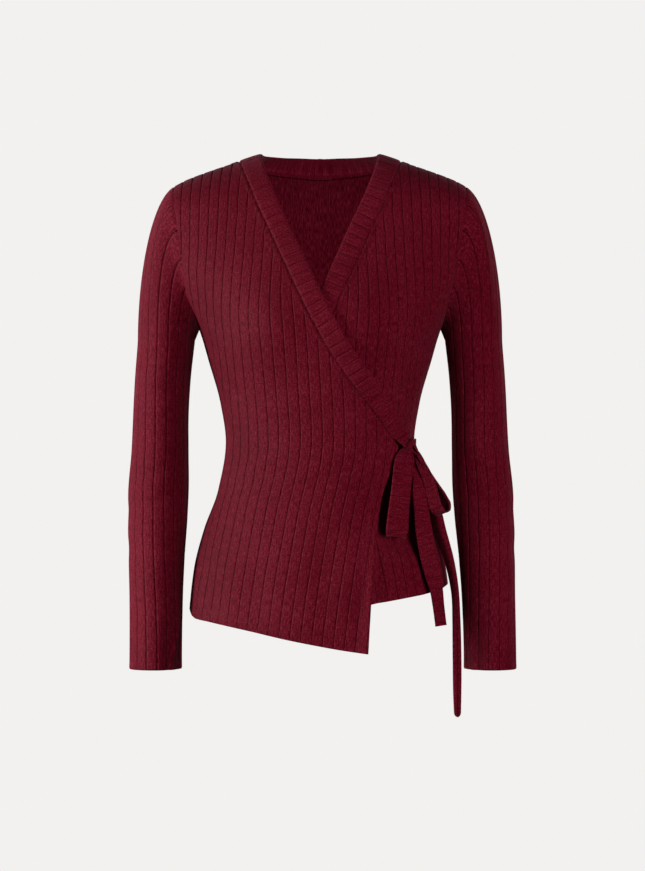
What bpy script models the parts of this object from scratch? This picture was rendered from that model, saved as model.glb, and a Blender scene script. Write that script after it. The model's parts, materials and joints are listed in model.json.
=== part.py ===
"""A long-sleeved wrap top in ribbed jersey, tied in a bow at the wearer's left waist.

The top keeps the hollow form that it has when it is worn. Each piece that is cut and sewn is one closed
wall of cloth. Its ribs stand up from the outer side, over a plain inner side.

Axes: +Z is up, the front faces -Y, and +X is the wearer's left. The origin lies midway between the two
shoulder seams. The tables are in millimetres, and the meshes are made in metres.

A torso point has a grain place `c`, counted in ribs from the middle of the panel, and a length place `v`.
Below the chest line `v` is the height. Above it `v` runs on over the shoulder, up to SHOULDER at the seam.
"""
import math

import bmesh
import bpy
import numpy as np

# ---------------------------------------------------------------- driving sizes, in millimetres
METRE = 0.001
WALL = 1.7                # cloth at the top of a rib
GROOVE_DEPTH = 0.8        # how far the groove between two ribs lies below their tops
GROOVE_HALF = 0.10        # half the width of a groove, in ribs
HALF_SEAM_GAP = 0.16      # each piece stops this far short of its seam
SNAP = 0.35               # a cut closer than this to a corner uses the corner
RIB = 13.0                # a rib and its groove, about
LAP = 3.4                 # how far the right front stands off the left one
LAP_RISE = 62.0           # how far below the chest line the lap reaches its full height
LAP_SIDE = 12.0           # how far in from the side seam the lap reaches its full height
BAND_WIDTH = 25.5
BAND_FULLER = 4.5         # how much wider the band is round the back neck
BAND_WALL = 2.2
BAND_RIB = 14.0
CHEST = -60.0             # v where the chest turns into the vault of the shoulders
VAULT_BULGE = 0.55        # how full the vault stays near the shoulder seam, as a share of the chest's depth
SHOULDER = 40.0           # v of the shoulder seam
ARMPIT = -197.5
SECTION_POWER = 2.17      # 2 is an ellipse, and more is squarer

# The inner face of the torso, as level sections.
TORSO_COLUMNS = ("height", "half_width", "front_depth", "back_depth")
TORSO = (
    (-620, 162.0, 106, 117),
    (-550, 161.0, 104, 114),
    (-500, 156.0, 103, 110),
    (-450, 143.5, 100, 101),
    (-400, 125.5, 94, 88),
    (-340, 116.0, 90, 78),
    (-290, 123.0, 96, 79),
    (-240, 137.0, 109, 87),
    (-200, 149.0, 117, 95),
    (-172, 162.0, 115, 99),
    (-148, 177.0, 109, 101),
    (-115, 199.0, 97, 99),
    (-80, 224.0, 85, 93),
    (-60, 242.0, 79, 88),
)
BUST = dict(out=66.0, height=-202.0, width=40.0, tall=48.0, lift=9.0)

SHOULDER_COLUMNS = ("out", "height")
SHOULDER_LINE = ((0, 31), (60, 21), (101, 8.6), (135, -2.6), (167, -14.8), (182, -23), (200, -35))

# Ribs of a front: their pitch, and the rib that lies on the centre line.
RIB_COLUMNS = ("height", "pitch", "centre")
FRONT_RIBS = (
    (-610, 13.3, 3.0),
    (-532, 13.3, 2.3),
    (-435, 13.1, 1.1),
    (-337, 13.1, -0.25),
    (-260, 13.4, 0.0),
    (-200, 13.6, 0.3),
    (-150, 12.3, 0.8),
    (-90, 11.6, 0.9),
    (-60, 11.9, 0.5),
)
BACK_RIBS = tuple((height, pitch, 0.0) for height, pitch, _ in FRONT_RIBS)
SHOULDER_PITCH = 12.4
SHOULDER_CENTRE = -0.3

# The seam between a front and the neckband, from the tie up to the shoulder, then round the back neck,
# as rows of x and v.
NECK_SEAM_FRONT = (
    (84.0, -334), (66.5, -307), (38.6, -268), (12.0, -228), (-16.5, -180), (-42.0, -125),
    (-63.0, -78), (-82.0, -38), (-93.5, -5), (-99.5, 22), (-101.0, 40),
)
NECK_SEAM_BACK = ((-101.0, 40), (-97.5, 55), (-88.0, 69), (-71.0, 80.5), (-50.0, 88), (-25.0, 92.6), (0.0, 94))

ARMHOLE_COLUMNS = ("v", "out")
ARMHOLE = (
    (-190, 152.4), (-172, 157.0), (-148, 163.0), (-115, 169.5), (-82, 174.5), (-56, 178.2),
    (-30, 180.2), (-5, 181.2), (18, 181.6), (40, 181.8),
)

# Free edges, as rows of x and height. The sides of the right front and of the left one hang at
# different heights.
HEM_RIGHT = ((-155, -555.5), (-148, -558), (-134, -560.8), (-87, -570.2), (-36, -581.6), (25, -593.3), (57, -598.3))
HEM_LEFT = ((-131, -526.6), (-96, -532.4), (-62, -538.2), (-25, -544.5), (20, -552.5), (58, -559))
SIDE_HEM_RIGHT = -551.0
SIDE_HEM_LEFT = -518.0
HEM_BACK_STEPS = 16
FRONT_EDGE = ((58.5, -568), (63.0, -508), (68, -459), (74.5, -411), (85.5, -372), (91.0, -345))

TORSO_ROWS = (-510, -458, -412, -368, -326, -284, -242, -205, -165, -118, -60, -28, -2, 22)

# The inner face of the wearer's left sleeve, as level rings.
SLEEVE_COLUMNS = ("height", "out", "back", "half_width", "half_depth")
SLEEVE = (
    (-622, 209.7, -18, 31.0, 31.0),
    (-600, 209.6, -16, 31.0, 31.0),
    (-537, 208.5, -11, 31.6, 33.0),
    (-475, 206.6, -6, 33.8, 35.0),
    (-437, 204.6, -3, 35.3, 35.5),
    (-400, 203.0, 0, 36.1, 36.0),
    (-350, 200.3, 2, 34.0, 37.0),
    (-300, 198.7, 2, 33.0, 39.0),
    (-262, 196.5, 1, 33.2, 41.0),
    (-215, 192.0, 0, 34.0, 43.0),
)
SLEEVE_ROWS = (-585, -540, -485, -430, -375, -320, -265, -215, -175, -130, -85, -45)
CAP_BASE = -215.0
CAP_EASE = 0.43           # how the cap's ribs crowd towards the top of the armhole
CAP_SLACK = 1.03          # length of a cap rib over the straight line under it
CAP_RISE = 0.44           # how far up a cap rib first climbs, as a share of its length
CAP_ROLL = 0.15           # how far it then rolls out over the seam
CUFF = -622.0
CUFF_FOLD = dict(angle=128.0, width=17.0, deep=5.0, top=-540.0)   # a soft trough on the front inner side
SWING_TOP = -300.0
SWING = dict(sleeve_left=2.0, sleeve_right=-5.2)   # how far each cuff swings out

# The bow. Each strip's rows give the x, y and z of its middle line, its width, and then the direction
# that its width lies in.
STRIP_WALL = 2.0
STRIP_PROFILE = (
    (-0.5, -0.25), (-0.5, 0.25), (-0.3, 0.5), (0.3, 0.5),
    (0.5, 0.25), (0.5, -0.25), (0.3, -0.5), (-0.3, -0.5),
)
ROOT_WIDTHS = (0.96, 0.92, 0.66, 0.4)     # of the first tie, as shares of the neckband's width
KNOT_SEAT = 0.35                          # how far that tie stops short of the knot
KNOT_PINCH = 0.12
KNOT_CENTRE = (107.5, -60.0, -342.0)
KNOT_RADII = (9.0, 8.5, 8.5)
STRIPS = {
    "tie_side_root": (
        (120.8, 0.0, -344, 18, 0.0, 0.0, 1.0),
        (120.6, -12.0, -344, 16, 0.0, 0.0, 1.0),
        (119.6, -27.0, -343, 14, 0.0, 0.0, 1.0),
        (117.6, -40.0, -341, 12, 0.0, 0.0, 1.0),
        (112.7, -52.6, -339.6, 10, 0.0, 0.0, 1.0),
    ),
    "loop_front": (
        (103.5, -65.6, -348.9, 12, 1.0, 0.2, 0.0),
        (103.4, -72.5, -357, 21, 1.0, 0.25, 0.0),
        (102.9, -77.5, -367, 25.5, 1.0, 0.25, 0.0),
        (101.0, -83.5, -387, 25, 1.0, 0.3, 0.0),
        (98.6, -89.5, -415, 25, 1.0, 0.3, 0.0),
        (95.6, -95.0, -440, 27, 1.0, 0.3, -0.1),
        (94.4, -95.5, -449, 27, 1.0, 0.3, -0.2),
        (93.8, -91.0, -454.5, 26, 1.0, 0.3, -0.25),
        (93.6, -86.5, -449, 26, 1.0, 0.3, -0.2),
        (94.8, -84.5, -437, 25, 1.0, 0.3, -0.1),
        (98.2, -79.5, -415, 24, 1.0, 0.3, 0.0),
        (102.0, -71.5, -385, 21, 1.0, 0.3, 0.0),
        (104.2, -64.0, -362, 16, 1.0, 0.25, 0.0),
        (104.5, -58.7, -351.0, 10, 1.0, 0.2, 0.0),
    ),
    "loop_side": (
        (116.4, -62.7, -343.2, 10, 0.0, 1.0, 0.35),
        (121.5, -66.0, -356, 16, -0.35, 0.92, 0.15),
        (129.5, -68.5, -375, 21, -0.5, 0.86, 0.0),
        (139.0, -69.0, -391, 24, -0.55, 0.83, 0.0),
        (149.6, -69.0, -407, 24, -0.55, 0.83, 0.0),
        (154.6, -69.0, -417, 24, -0.5, 0.86, 0.0),
        (154.4, -69.0, -424.5, 24, -0.4, 0.9, 0.0),
        (149.8, -69.0, -428.2, 24, -0.35, 0.92, 0.0),
        (145.0, -69.0, -424.5, 24, -0.4, 0.9, 0.0),
        (142.0, -69.0, -416, 24, -0.5, 0.86, 0.0),
        (137.2, -69.0, -403, 24, -0.55, 0.83, 0.0),
        (128.6, -68.5, -385, 21, -0.5, 0.86, 0.0),
        (119.3, -66.0, -366, 15, -0.35, 0.92, 0.2),
        (111.8, -62.4, -349.0, 9, 0.0, 1.0, 0.35),
    ),
    "tail_short": (
        (106.8, -55.0, -350.2, 8, 1.0, 0.4, 0.1),
        (110.6, -55.8, -364, 12, 1.0, 0.4, 0.1),
        (117.4, -57.0, -385, 18.5, 1.0, 0.3, 0.1),
        (121.0, -58.5, -400, 20, 1.0, 0.3, 0.1),
        (124.2, -60.5, -420, 20, 1.0, 0.3, 0.2),
        (129.2, -63.0, -448.4, 19, 1.0, 0.4, 0.3),
        (135.3, -65.0, -475, 18, 1.0, 0.4, 0.3),
        (141.6, -66.0, -510, 17, 1.0, 0.4, 0.25),
        (145.5, -66.0, -541, 16, 1.0, 0.4, 0.25),
        (148.6, -66.0, -565.5, 15.5, 1.0, 0.4, 0.3),
    ),
    "tail_long": (
        (113.9, -55.0, -347.2, 6, 0.5, 0.8, 0.3),
        (126.2, -46.0, -375, 12, 0.7, 0.6, 0.3),
        (133.8, -44.0, -398, 14.5, 0.9, 0.4, 0.3),
        (140.9, -44.0, -420, 16.5, 1.0, 0.3, 0.3),
        (148.4, -45.5, -448.4, 16.5, 1.0, 0.3, 0.3),
        (158.6, -48.0, -485.4, 15, 1.0, 0.3, 0.3),
        (165.8, -52.0, -522.4, 11.5, 1.0, 0.3, 0.1),
        (168.0, -54.5, -560, 11.3, 1.0, 0.3, 0.0),
        (169.0, -55.5, -609, 11.3, 1.0, 0.3, 0.0),
        (169.2, -56.0, -650, 11, 1.0, 0.3, 0.0),
        (169.6, -56.0, -679, 9, 1.0, 0.3, 0.0),
    ),
}
FOLDED_STRIPS = ("tail_long",)
FOLDED_WALL = 4.0

CLOTH_COLOUR = (0.105, 0.006, 0.014, 1.0)


# ---------------------------------------------------------------- small helpers
def unit(vector):
    """Return the vector at length 1."""
    return vector / max(np.linalg.norm(vector), 1e-12)


def column(rows, columns, wanted, key):
    """Return a smooth function of `key` that passes through a table's rows without overshoot."""
    table = np.array(sorted(rows, key=lambda row: row[columns.index(key)]), float)
    xs = table[:, columns.index(key)]
    ys = table[:, columns.index(wanted)]
    steps = np.diff(ys) / np.diff(xs)
    slopes = np.concatenate([[steps[0]], np.zeros(len(xs) - 2), [steps[-1]]])
    for i in range(1, len(xs) - 1):
        if steps[i - 1] * steps[i] > 0:
            slopes[i] = 2 * steps[i - 1] * steps[i] / (steps[i - 1] + steps[i])

    def at(x):
        x = np.clip(x, xs[0], xs[-1])
        i = int(np.clip(np.searchsorted(xs, x) - 1, 0, len(xs) - 2))
        span = xs[i + 1] - xs[i]
        t = (x - xs[i]) / span
        ends = (2 * t**3 - 3 * t**2 + 1) * ys[i] + (3 * t**2 - 2 * t**3) * ys[i + 1]
        return ends + span * ((t**3 - 2 * t**2 + t) * slopes[i] + (t**3 - t**2) * slopes[i + 1])

    return at


def smoothstep(x):
    """Rise softly from 0 to 1 while x goes from 0 to 1."""
    x = min(max(x, 0.0), 1.0)
    return x * x * (3 - 2 * x)


def bezier(points, t):
    """Return the place at t on a cubic Bezier curve."""
    a, b, c, d = (np.asarray(point, float) for point in points)
    return (1 - t) ** 3 * a + 3 * t * (1 - t) ** 2 * b + 3 * t * t * (1 - t) * c + t**3 * d


# ---------------------------------------------------------------- the torso's surface
half_width = column(TORSO, TORSO_COLUMNS, "half_width", "height")
front_depth = column(TORSO, TORSO_COLUMNS, "front_depth", "height")
back_depth = column(TORSO, TORSO_COLUMNS, "back_depth", "height")
shoulder_height = column(SHOULDER_LINE, SHOULDER_COLUMNS, "height", "out")
armhole_out = column(ARMHOLE, ARMHOLE_COLUMNS, "out", "v")


def section(angle, height, front):
    """Return x and y on the level section at a height, at an angle from the centre line (90 is the side)."""
    power = 2 / SECTION_POWER
    x = half_width(height) * math.copysign(abs(math.sin(angle)) ** power, angle)
    cosine = abs(math.cos(angle))
    if not front:
        return x, back_depth(height) * cosine**power
    across = (abs(x) - BUST["out"]) / BUST["width"]
    above = (height - BUST["height"]) / BUST["tall"]
    lift = BUST["lift"] * math.exp(-(across**2) - above**2) * math.sqrt(cosine)
    return x, -front_depth(height) * cosine**power - lift


def angle_at(x, height):
    """Return the section angle at x."""
    share = min(abs(x) / half_width(height), 1.0)
    return math.copysign(math.asin(share ** (SECTION_POWER / 2)), x)


def torso(x, v, front=True):
    """Return the torso's inner face at x and v."""
    if v <= CHEST:
        return np.array([x, section(angle_at(x, v), v, front)[1], v])
    low = section(angle_at(x, CHEST), CHEST, front)[1]
    lower = section(angle_at(x, CHEST - 20), CHEST - 20, front)[1]
    top = shoulder_height(abs(x))
    half_rise = (top - CHEST) / 2
    lean = (low - lower) / 20 * half_rise
    handles = ((x, low, CHEST), (x, low + lean, CHEST + half_rise), (x, VAULT_BULGE * low, top), (x, 0, top))
    return bezier(handles, (v - CHEST) / (SHOULDER - CHEST))


def over_torso(x, v):
    """Return the torso at x and v, where v runs on past SHOULDER and down the back."""
    if v <= SHOULDER:
        return torso(x, v, True)
    return torso(x, 2 * SHOULDER - v, False)


def slope_vectors(surface, a, b, step=0.4):
    """Return a surface's directions along its two coordinates."""
    along_a = (surface(a + step, b) - surface(a - step, b)) / (2 * step)
    along_b = (surface(a, b + step) - surface(a, b - step)) / (2 * step)
    return along_a, along_b


def lap_lift(x, v):
    """Return how far the right front stands off the body, to lie over the left one."""
    if v > CHEST:
        return 0.0
    below_neck = smoothstep((CHEST - v) / LAP_RISE)
    from_side = smoothstep((half_width(v) - 1 + x) / LAP_SIDE)
    return LAP * below_neck * from_side


class Grain:
    """The rib lines of a torso panel: which point lies on rib `c` at `v`."""

    ANGLES = np.radians(np.arange(-90, 90.1, 1.5))

    def __init__(self, ribs, front, lapped=False):
        self.pitch = column(ribs, RIB_COLUMNS, "pitch", "height")
        self.centre = column(ribs, RIB_COLUMNS, "centre", "height")
        self.front = front
        self.lapped = lapped
        self.shoulder_centre = SHOULDER_CENTRE if front else 0.0
        self.lengths = {}

    def arc(self, height):
        """Return the length along the section from the centre line to each of ANGLES."""
        key = round(height, 3)
        if key not in self.lengths:
            places = np.array([section(angle, height, self.front) for angle in self.ANGLES])
            steps = np.hypot(*np.diff(places, axis=0).T)
            run = np.concatenate([[0.0], np.cumsum(steps)])
            self.lengths[key] = run - np.interp(0.0, self.ANGLES, run)
        return self.lengths[key]

    def angle(self, c, height):
        """Return the section angle of rib c, as if the section ran straight on past the sides."""
        length = (c - self.centre(height)) * self.pitch(height)
        arc = self.arc(height)
        return float(np.interp(length, arc, self.ANGLES))

    def vault_out(self, c, v):
        """Return x of rib c above the chest line."""
        low = section(self.angle(c, CHEST), CHEST, self.front)[0]
        top = (c - self.shoulder_centre) * SHOULDER_PITCH
        blend = smoothstep((v - CHEST) / (SHOULDER - CHEST))
        return low + (top - low) * blend

    def body(self, c, v):
        """Return the body's point at rib c, without the lap."""
        if v <= CHEST:
            x, y = section(self.angle(c, v), v, self.front)
            return np.array([x, y, v])
        return torso(self.vault_out(c, v), v, self.front)

    def at(self, c, v):
        """Return the inner face's point and its outward direction."""
        place = self.body(c, v)
        along_c, along_v = slope_vectors(self.body, c, v)
        out = unit(np.cross(along_c, along_v))
        if not self.front:
            out = -out
        if self.lapped:
            place = place + out * lap_lift(place[0], v)
        return place, out

    def rib_at(self, x, v):
        """Return the rib that passes through x at v."""
        if v <= CHEST:
            length = np.interp(angle_at(x, v), self.ANGLES, self.arc(v))
            return self.centre(v) + float(length) / self.pitch(v)
        ribs = np.arange(-24, 24.01, 0.5)
        return float(np.interp(x, [self.vault_out(c, v) for c in ribs], ribs))


# ---------------------------------------------------------------- the neckband's line
def spaced(rows, spacing):
    """Return even places along a line over the torso, given by a few rows of x and v."""
    rows = np.array(rows, float)
    knots = np.concatenate([[0.0], np.cumsum(np.hypot(*np.diff(rows, axis=0).T))])
    table = tuple(zip(knots, rows[:, 0], rows[:, 1]))
    names = ("knot", "out", "v")
    out, along = column(table, names, "out", "knot"), column(table, names, "v", "knot")
    fine = [(out(k), along(k)) for k in np.linspace(0, knots[-1], 240)]
    points = np.array([over_torso(*place) for place in fine])
    run = np.concatenate([[0.0], np.cumsum(np.linalg.norm(np.diff(points, axis=0), axis=1))])
    count = max(2, round(run[-1] / spacing))
    wanted = np.linspace(0, run[-1], count + 1)
    fine = np.array(fine)
    return [(float(np.interp(s, run, fine[:, 0])), float(np.interp(s, run, fine[:, 1]))) for s in wanted]


def cross_band(x, v, tangent):
    """Walk over the torso from the neck seam to the band's free edge, square to the seam."""
    steps = 6
    width = BAND_WIDTH + BAND_FULLER * smoothstep((v + 20) / 55)
    path = [(x, v)]
    for _ in range(steps):
        along_x, along_v = slope_vectors(over_torso, x, v)
        out = np.cross(along_x, along_v)
        move = unit(np.cross(unit(out), tangent)) * (-width / steps)
        change = np.linalg.lstsq(np.column_stack([along_x, along_v]), move, rcond=None)[0]
        x, v = x + change[0], v + change[1]
        path.append((x, v))
    return path


class NeckLine:
    """The neckband's stations: the place of its seam and of its free edge at each half rib."""

    def __init__(self):
        right = spaced(NECK_SEAM_FRONT, BAND_RIB)
        half_back = spaced(NECK_SEAM_BACK, BAND_RIB)
        back = half_back[:-1] + [(-x, v) for x, v in reversed(half_back)]
        left = [(-x, v) for x, v in reversed(right)]
        self.stations = right[:-1] + back[:-1] + left
        self.right_count = len(right) - 1
        self.back_count = len(back) - 1
        points = np.array([over_torso(*place) for place in self.stations])
        tangents = np.gradient(points, axis=0)
        self.paths = np.array([
            cross_band(x, v, unit(tangent)) for (x, v), tangent in zip(self.stations, tangents)
        ])
        self.count = len(self.stations) - 1

    def over(self, c, across):
        """Return x and v at station c, and at a share of the band's width from its seam."""
        c = min(max(c, 0.0), self.count)
        i = min(int(c), self.count - 1)
        row = (c - i) * self.paths[i + 1] + (1 - (c - i)) * self.paths[i]
        k = across / BAND_WIDTH * (len(row) - 1)
        j = int(min(max(k, 0), len(row) - 2))
        return row[j] + (k - j) * (row[j + 1] - row[j])

    def lap(self, c):
        """Return 1 along the right front, where the band lies over the left front, and 0 elsewhere."""
        return 1.0 if c < self.right_count else 0.0

    def at(self, c, across):
        """Return the band's inner face at a station, and its outward direction."""
        x, v = self.over(c, across)
        along_x, along_v = slope_vectors(over_torso, x, v)
        out = unit(np.cross(along_x, along_v))
        return over_torso(x, v) + out * lap_lift(x, v) * self.lap(c), out


# ---------------------------------------------------------------- one wall of cloth
def rib_cuts(low, high):
    """Return the cuts across a panel's outer face, and those across its plain inner face."""
    outer, inner = [], []
    for c in range(math.floor(low) - 1, math.ceil(high) + 2):
        outer += [c - GROOVE_HALF, c, c + GROOVE_HALF]
        inner.append(c)
    return outer, inner


def groove(c):
    """Return 1 at the bottom of a groove and 0 on the flat top of a rib. The grooves lie at whole ribs."""
    return max(0.0, 1 - abs(c - round(c)) / (GROOVE_HALF * 0.999))


def seam_master(corners):
    """Move each corner of a piece's outline back from the seam, square to the cloth's edge."""
    moved = []
    for i, (c, v, place, out) in enumerate(corners):
        before = unit(place - corners[i - 1][2])
        after = unit(corners[(i + 1) % len(corners)][2] - place)
        inward = np.cross(out, before) + np.cross(out, after)
        reach = HALF_SEAM_GAP / max(np.linalg.norm(inward) / 2, 0.5)
        moved.append((c, v, place + unit(inward) * reach, out))
    return moved


def split_outline(corners, columns, rows):
    """Add a corner to the outline wherever a cut will cross it."""
    outline = []
    for i, (c, v, place, out) in enumerate(corners):
        c2, v2, place2, out2 = corners[(i + 1) % len(corners)]
        shares = set()
        cuts = [(k, c, c2, RIB) for k in columns] + [(k, v, v2, 1.0) for k in rows]
        for value, start, end, size in cuts:
            away, beyond = (value - start) * size, (value - end) * size
            if away * beyond < 0 and min(abs(away), abs(beyond)) > SNAP:
                shares.add((value - start) / (end - start))
        outline.append((c, v, place, out))
        length = math.hypot((c2 - c) * RIB, v2 - v)
        last = 0.0
        for share in sorted(shares):
            if (share - last) * length < 1e-3:
                continue
            last = share
            outline.append((
                c + (c2 - c) * share, v + (v2 - v) * share,
                place + (place2 - place) * share, unit(out + (out2 - out) * share),
            ))
    return outline


def flat_sheet(outline, columns, rows):
    """Cut the flat outline along its columns and rows, and return its points and triangles."""
    mesh = bmesh.new()
    mesh.faces.new([mesh.verts.new((c * RIB, v, 0)) for c, v, _, _ in outline])
    cuts = [((c * RIB, 0, 0), (1, 0, 0)) for c in columns] + [((0, v, 0), (0, 1, 0)) for v in rows]
    for place, direction in cuts:
        parts = mesh.verts[:] + mesh.edges[:] + mesh.faces[:]
        bmesh.ops.bisect_plane(mesh, geom=parts, dist=SNAP, plane_co=place, plane_no=direction)
    bmesh.ops.triangulate(mesh, faces=mesh.faces[:], quad_method="BEAUTY", ngon_method="BEAUTY")
    mesh.verts.index_update()
    points = [(vert.co.x / RIB, vert.co.y, vert.is_boundary) for vert in mesh.verts]
    faces = [[vert.index for vert in face.verts] for face in mesh.faces]
    mesh.free()
    return points, faces


def cloth_piece(name, corners, columns, inner_columns, rows, surface, wall=WALL, mirrored=False):
    """Make one closed wall of cloth: a ribbed outer face, a plain inner face, and the cut edge between."""
    corners = seam_master(corners)
    outline = split_outline(corners, list(columns) + list(inner_columns), rows)
    edge_index = {(round(c * RIB, 2), round(v, 2)): i for i, (c, v, _, _) in enumerate(outline)}
    verts, faces, rims = [], [], []
    for cuts, raised in ((columns, True), (inner_columns, False)):
        points, triangles = flat_sheet(outline, cuts, rows)
        start, rim = len(verts), {}
        for number, (c, v, on_edge) in enumerate(points):
            if on_edge:
                index = nearest_edge(edge_index, outline, c, v)
                rim[index] = start + number
                c, v, place, out = outline[index]
            else:
                place, out = surface(c, v)
            thick = wall - GROOVE_DEPTH * groove(c) if raised else 0.0
            verts.append(place + out * thick)
        for triangle in triangles:
            corner = [start + index for index in triangle]
            faces.append(corner if raised else corner[::-1])
        rims.append(rim)
    count = len(outline)
    for i in range(count):
        j = (i + 1) % count
        top_a, top_b, low_a, low_b = rims[0][i], rims[0][j], rims[1][i], rims[1][j]
        faces += [[low_a, low_b, top_b], [low_a, top_b, top_a]]
    return make_object(name, verts, faces, mirrored)


def nearest_edge(edge_index, outline, c, v):
    """Return which outline corner a point of the flat sheet is."""
    key = (round(c * RIB, 2), round(v, 2))
    if key in edge_index:
        return edge_index[key]
    gaps = [abs((c - corner[0]) * RIB) + abs(v - corner[1]) for corner in outline]
    best = int(np.argmin(gaps))
    if gaps[best] > 0.05:
        raise ValueError(f"no outline corner at rib {c:.3f}, v {v:.2f}")
    return best


def make_object(name, verts, faces, mirrored=False):
    """Make a mesh object from points in millimetres."""
    if mirrored:
        verts = [np.array([-place[0], place[1], place[2]]) for place in verts]
        faces = [face[::-1] for face in faces]
    mesh = bpy.data.meshes.new(name)
    mesh.from_pydata([tuple(np.asarray(place) * METRE) for place in verts], [], faces)
    mesh.validate()
    solid = bmesh.new()
    solid.from_mesh(mesh)
    bmesh.ops.recalc_face_normals(solid, faces=solid.faces[:])
    solid.to_mesh(mesh)
    solid.free()
    mesh.materials.append(cloth_material())
    mesh.shade_smooth()
    mesh.set_sharp_from_angle(angle=math.radians(50))
    piece = bpy.data.objects.new(name, mesh)
    bpy.context.scene.collection.objects.link(piece)
    return piece


def cloth_material():
    """Return the wine-red jersey."""
    material = bpy.data.materials.get("wine_rib_jersey")
    if material is None:
        material = bpy.data.materials.new("wine_rib_jersey")
        material.use_nodes = True
        shader = material.node_tree.nodes["Principled BSDF"]
        shader.inputs["Base Color"].default_value = CLOTH_COLOUR
        shader.inputs["Roughness"].default_value = 0.85
        shader.inputs["Metallic"].default_value = 0.0
    return material


# ---------------------------------------------------------------- seams shared by two pieces
def armhole_line(grain, side):
    """Return a panel's armhole from the armpit up to the shoulder, with the seam's wall direction."""
    height = ARMPIT
    places = [(math.copysign(half_width(height), side), height)]
    places += [(side * out, v) for v, out in ARMHOLE]
    line = []
    for x, v in places:
        c = grain.rib_at(x, v)
        place, out = grain.at(c, v)
        place = grain.body(c, v)
        if v == ARMPIT:
            out = np.array([side, 0.0, 0.0])
        towards_armpit = smoothstep((place[2] + 140) / (ARMPIT + 140))
        out = unit(out * (1 - towards_armpit) + np.array([0, 0, -1.0]) * towards_armpit)
        line.append((c, v, place, out))
    return line


def side_line(grain, side, hem):
    """Return a panel's side seam from the hem up to just below the armpit."""
    heights = [hem] + [v for v in TORSO_ROWS if hem + 12 < v < ARMPIT - 4]
    line = []
    for height in heights:
        reach = grain.arc(height)[-1] / grain.pitch(height)
        c = grain.centre(height) + side * reach
        place = np.array([side * half_width(height), 0.0, height])
        line.append((c, height, place, np.array([float(side), 0, 0])))
    return line


def torso_corners(grain, places):
    """Return outline corners for places given as x and v."""
    corners = []
    for x, v in places:
        c = grain.rib_at(x, v)
        place, out = grain.at(c, v)
        corners.append((c, v, place, out))
    return corners


# ---------------------------------------------------------------- the pieces
def neck_corners(grain, neck, first, last):
    """Return the outline's corners along the neck seam, from station first to station last."""
    corners = []
    for station in range(first, last + 1):
        x, v = neck.stations[station]
        if not grain.front:
            v = 2 * SHOULDER - v
        c = grain.rib_at(x, v)
        corners.append((c, v) + neck.at(station, 0.0))
    return corners


def shoulder_corners(grain, side):
    """Return the corners between the two ends of a shoulder seam, from the arm to the neck."""
    return torso_corners(grain, [(side * out, SHOULDER) for out in (155.0, 128.0)])


def front_piece(name, neck, hem, side_hem, lapped, mirrored):
    """Make a front. It is drawn as the right one, and the left one is its mirror image."""
    grain = Grain(FRONT_RIBS, front=True, lapped=lapped)
    neck_line = neck_corners(grain, neck, 0, neck.right_count)
    if not lapped:
        neck_line = [(c, v, over_torso(*neck.stations[i]), out) for i, (c, v, _, out) in enumerate(neck_line)]
    lowest = hem[-1][1]
    edge = [row for row in FRONT_EDGE if row[1] > lowest + 8]
    corners = torso_corners(grain, list(hem) + edge)
    corners += neck_line
    corners += list(reversed(shoulder_corners(grain, -1)))
    corners += list(reversed(armhole_line(grain, -1)))
    corners += list(reversed(side_line(grain, -1, side_hem)))
    outer, inner = rib_cuts(min(corner[0] for corner in corners), max(corner[0] for corner in corners))
    return cloth_piece(name, corners, outer, inner, TORSO_ROWS, grain.at, WALL, mirrored)


def back_piece(neck):
    """Make the back."""
    grain = Grain(BACK_RIBS, front=False)
    steps = np.linspace(0, 1, HEM_BACK_STEPS + 1)[1:-1]
    start = np.array([-half_width(SIDE_HEM_RIGHT), SIDE_HEM_RIGHT])
    end = np.array([half_width(SIDE_HEM_LEFT), SIDE_HEM_LEFT])
    hem = [tuple(start + (end - start) * t) for t in steps]
    neck_line = neck_corners(grain, neck, neck.right_count, neck.right_count + neck.back_count)
    corners = torso_corners(grain, hem)
    corners += side_line(grain, 1, SIDE_HEM_LEFT)
    corners += armhole_line(grain, 1)
    corners += shoulder_corners(grain, 1)
    corners += list(reversed(neck_line))
    corners += list(reversed(shoulder_corners(grain, -1)))
    corners += list(reversed(armhole_line(grain, -1)))
    corners += list(reversed(side_line(grain, -1, SIDE_HEM_RIGHT)))
    turned = [(-c, v, place, out) for c, v, place, out in reversed(corners)]
    outer, inner = rib_cuts(min(corner[0] for corner in turned), max(corner[0] for corner in turned))
    return cloth_piece("back", turned, outer, inner, TORSO_ROWS, lambda c, v: grain.at(-c, v))


def neckband_piece(neck):
    """Make the neckband, whose ribs run across it."""
    end = neck.count
    seam = [(float(c), 0.0) + neck.at(c, 0.0) for c in range(end + 1)]
    free = [(float(c), BAND_WIDTH) + neck.at(c, BAND_WIDTH) for c in range(end, -1, -1)]
    outer, inner = rib_cuts(-end, 0)
    turned = [(-c, v, place, out) for c, v, place, out in reversed(seam + free)]
    return cloth_piece("neckband", turned, outer, inner, (), lambda c, v: neck.at(-c, v), BAND_WALL)


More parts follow.
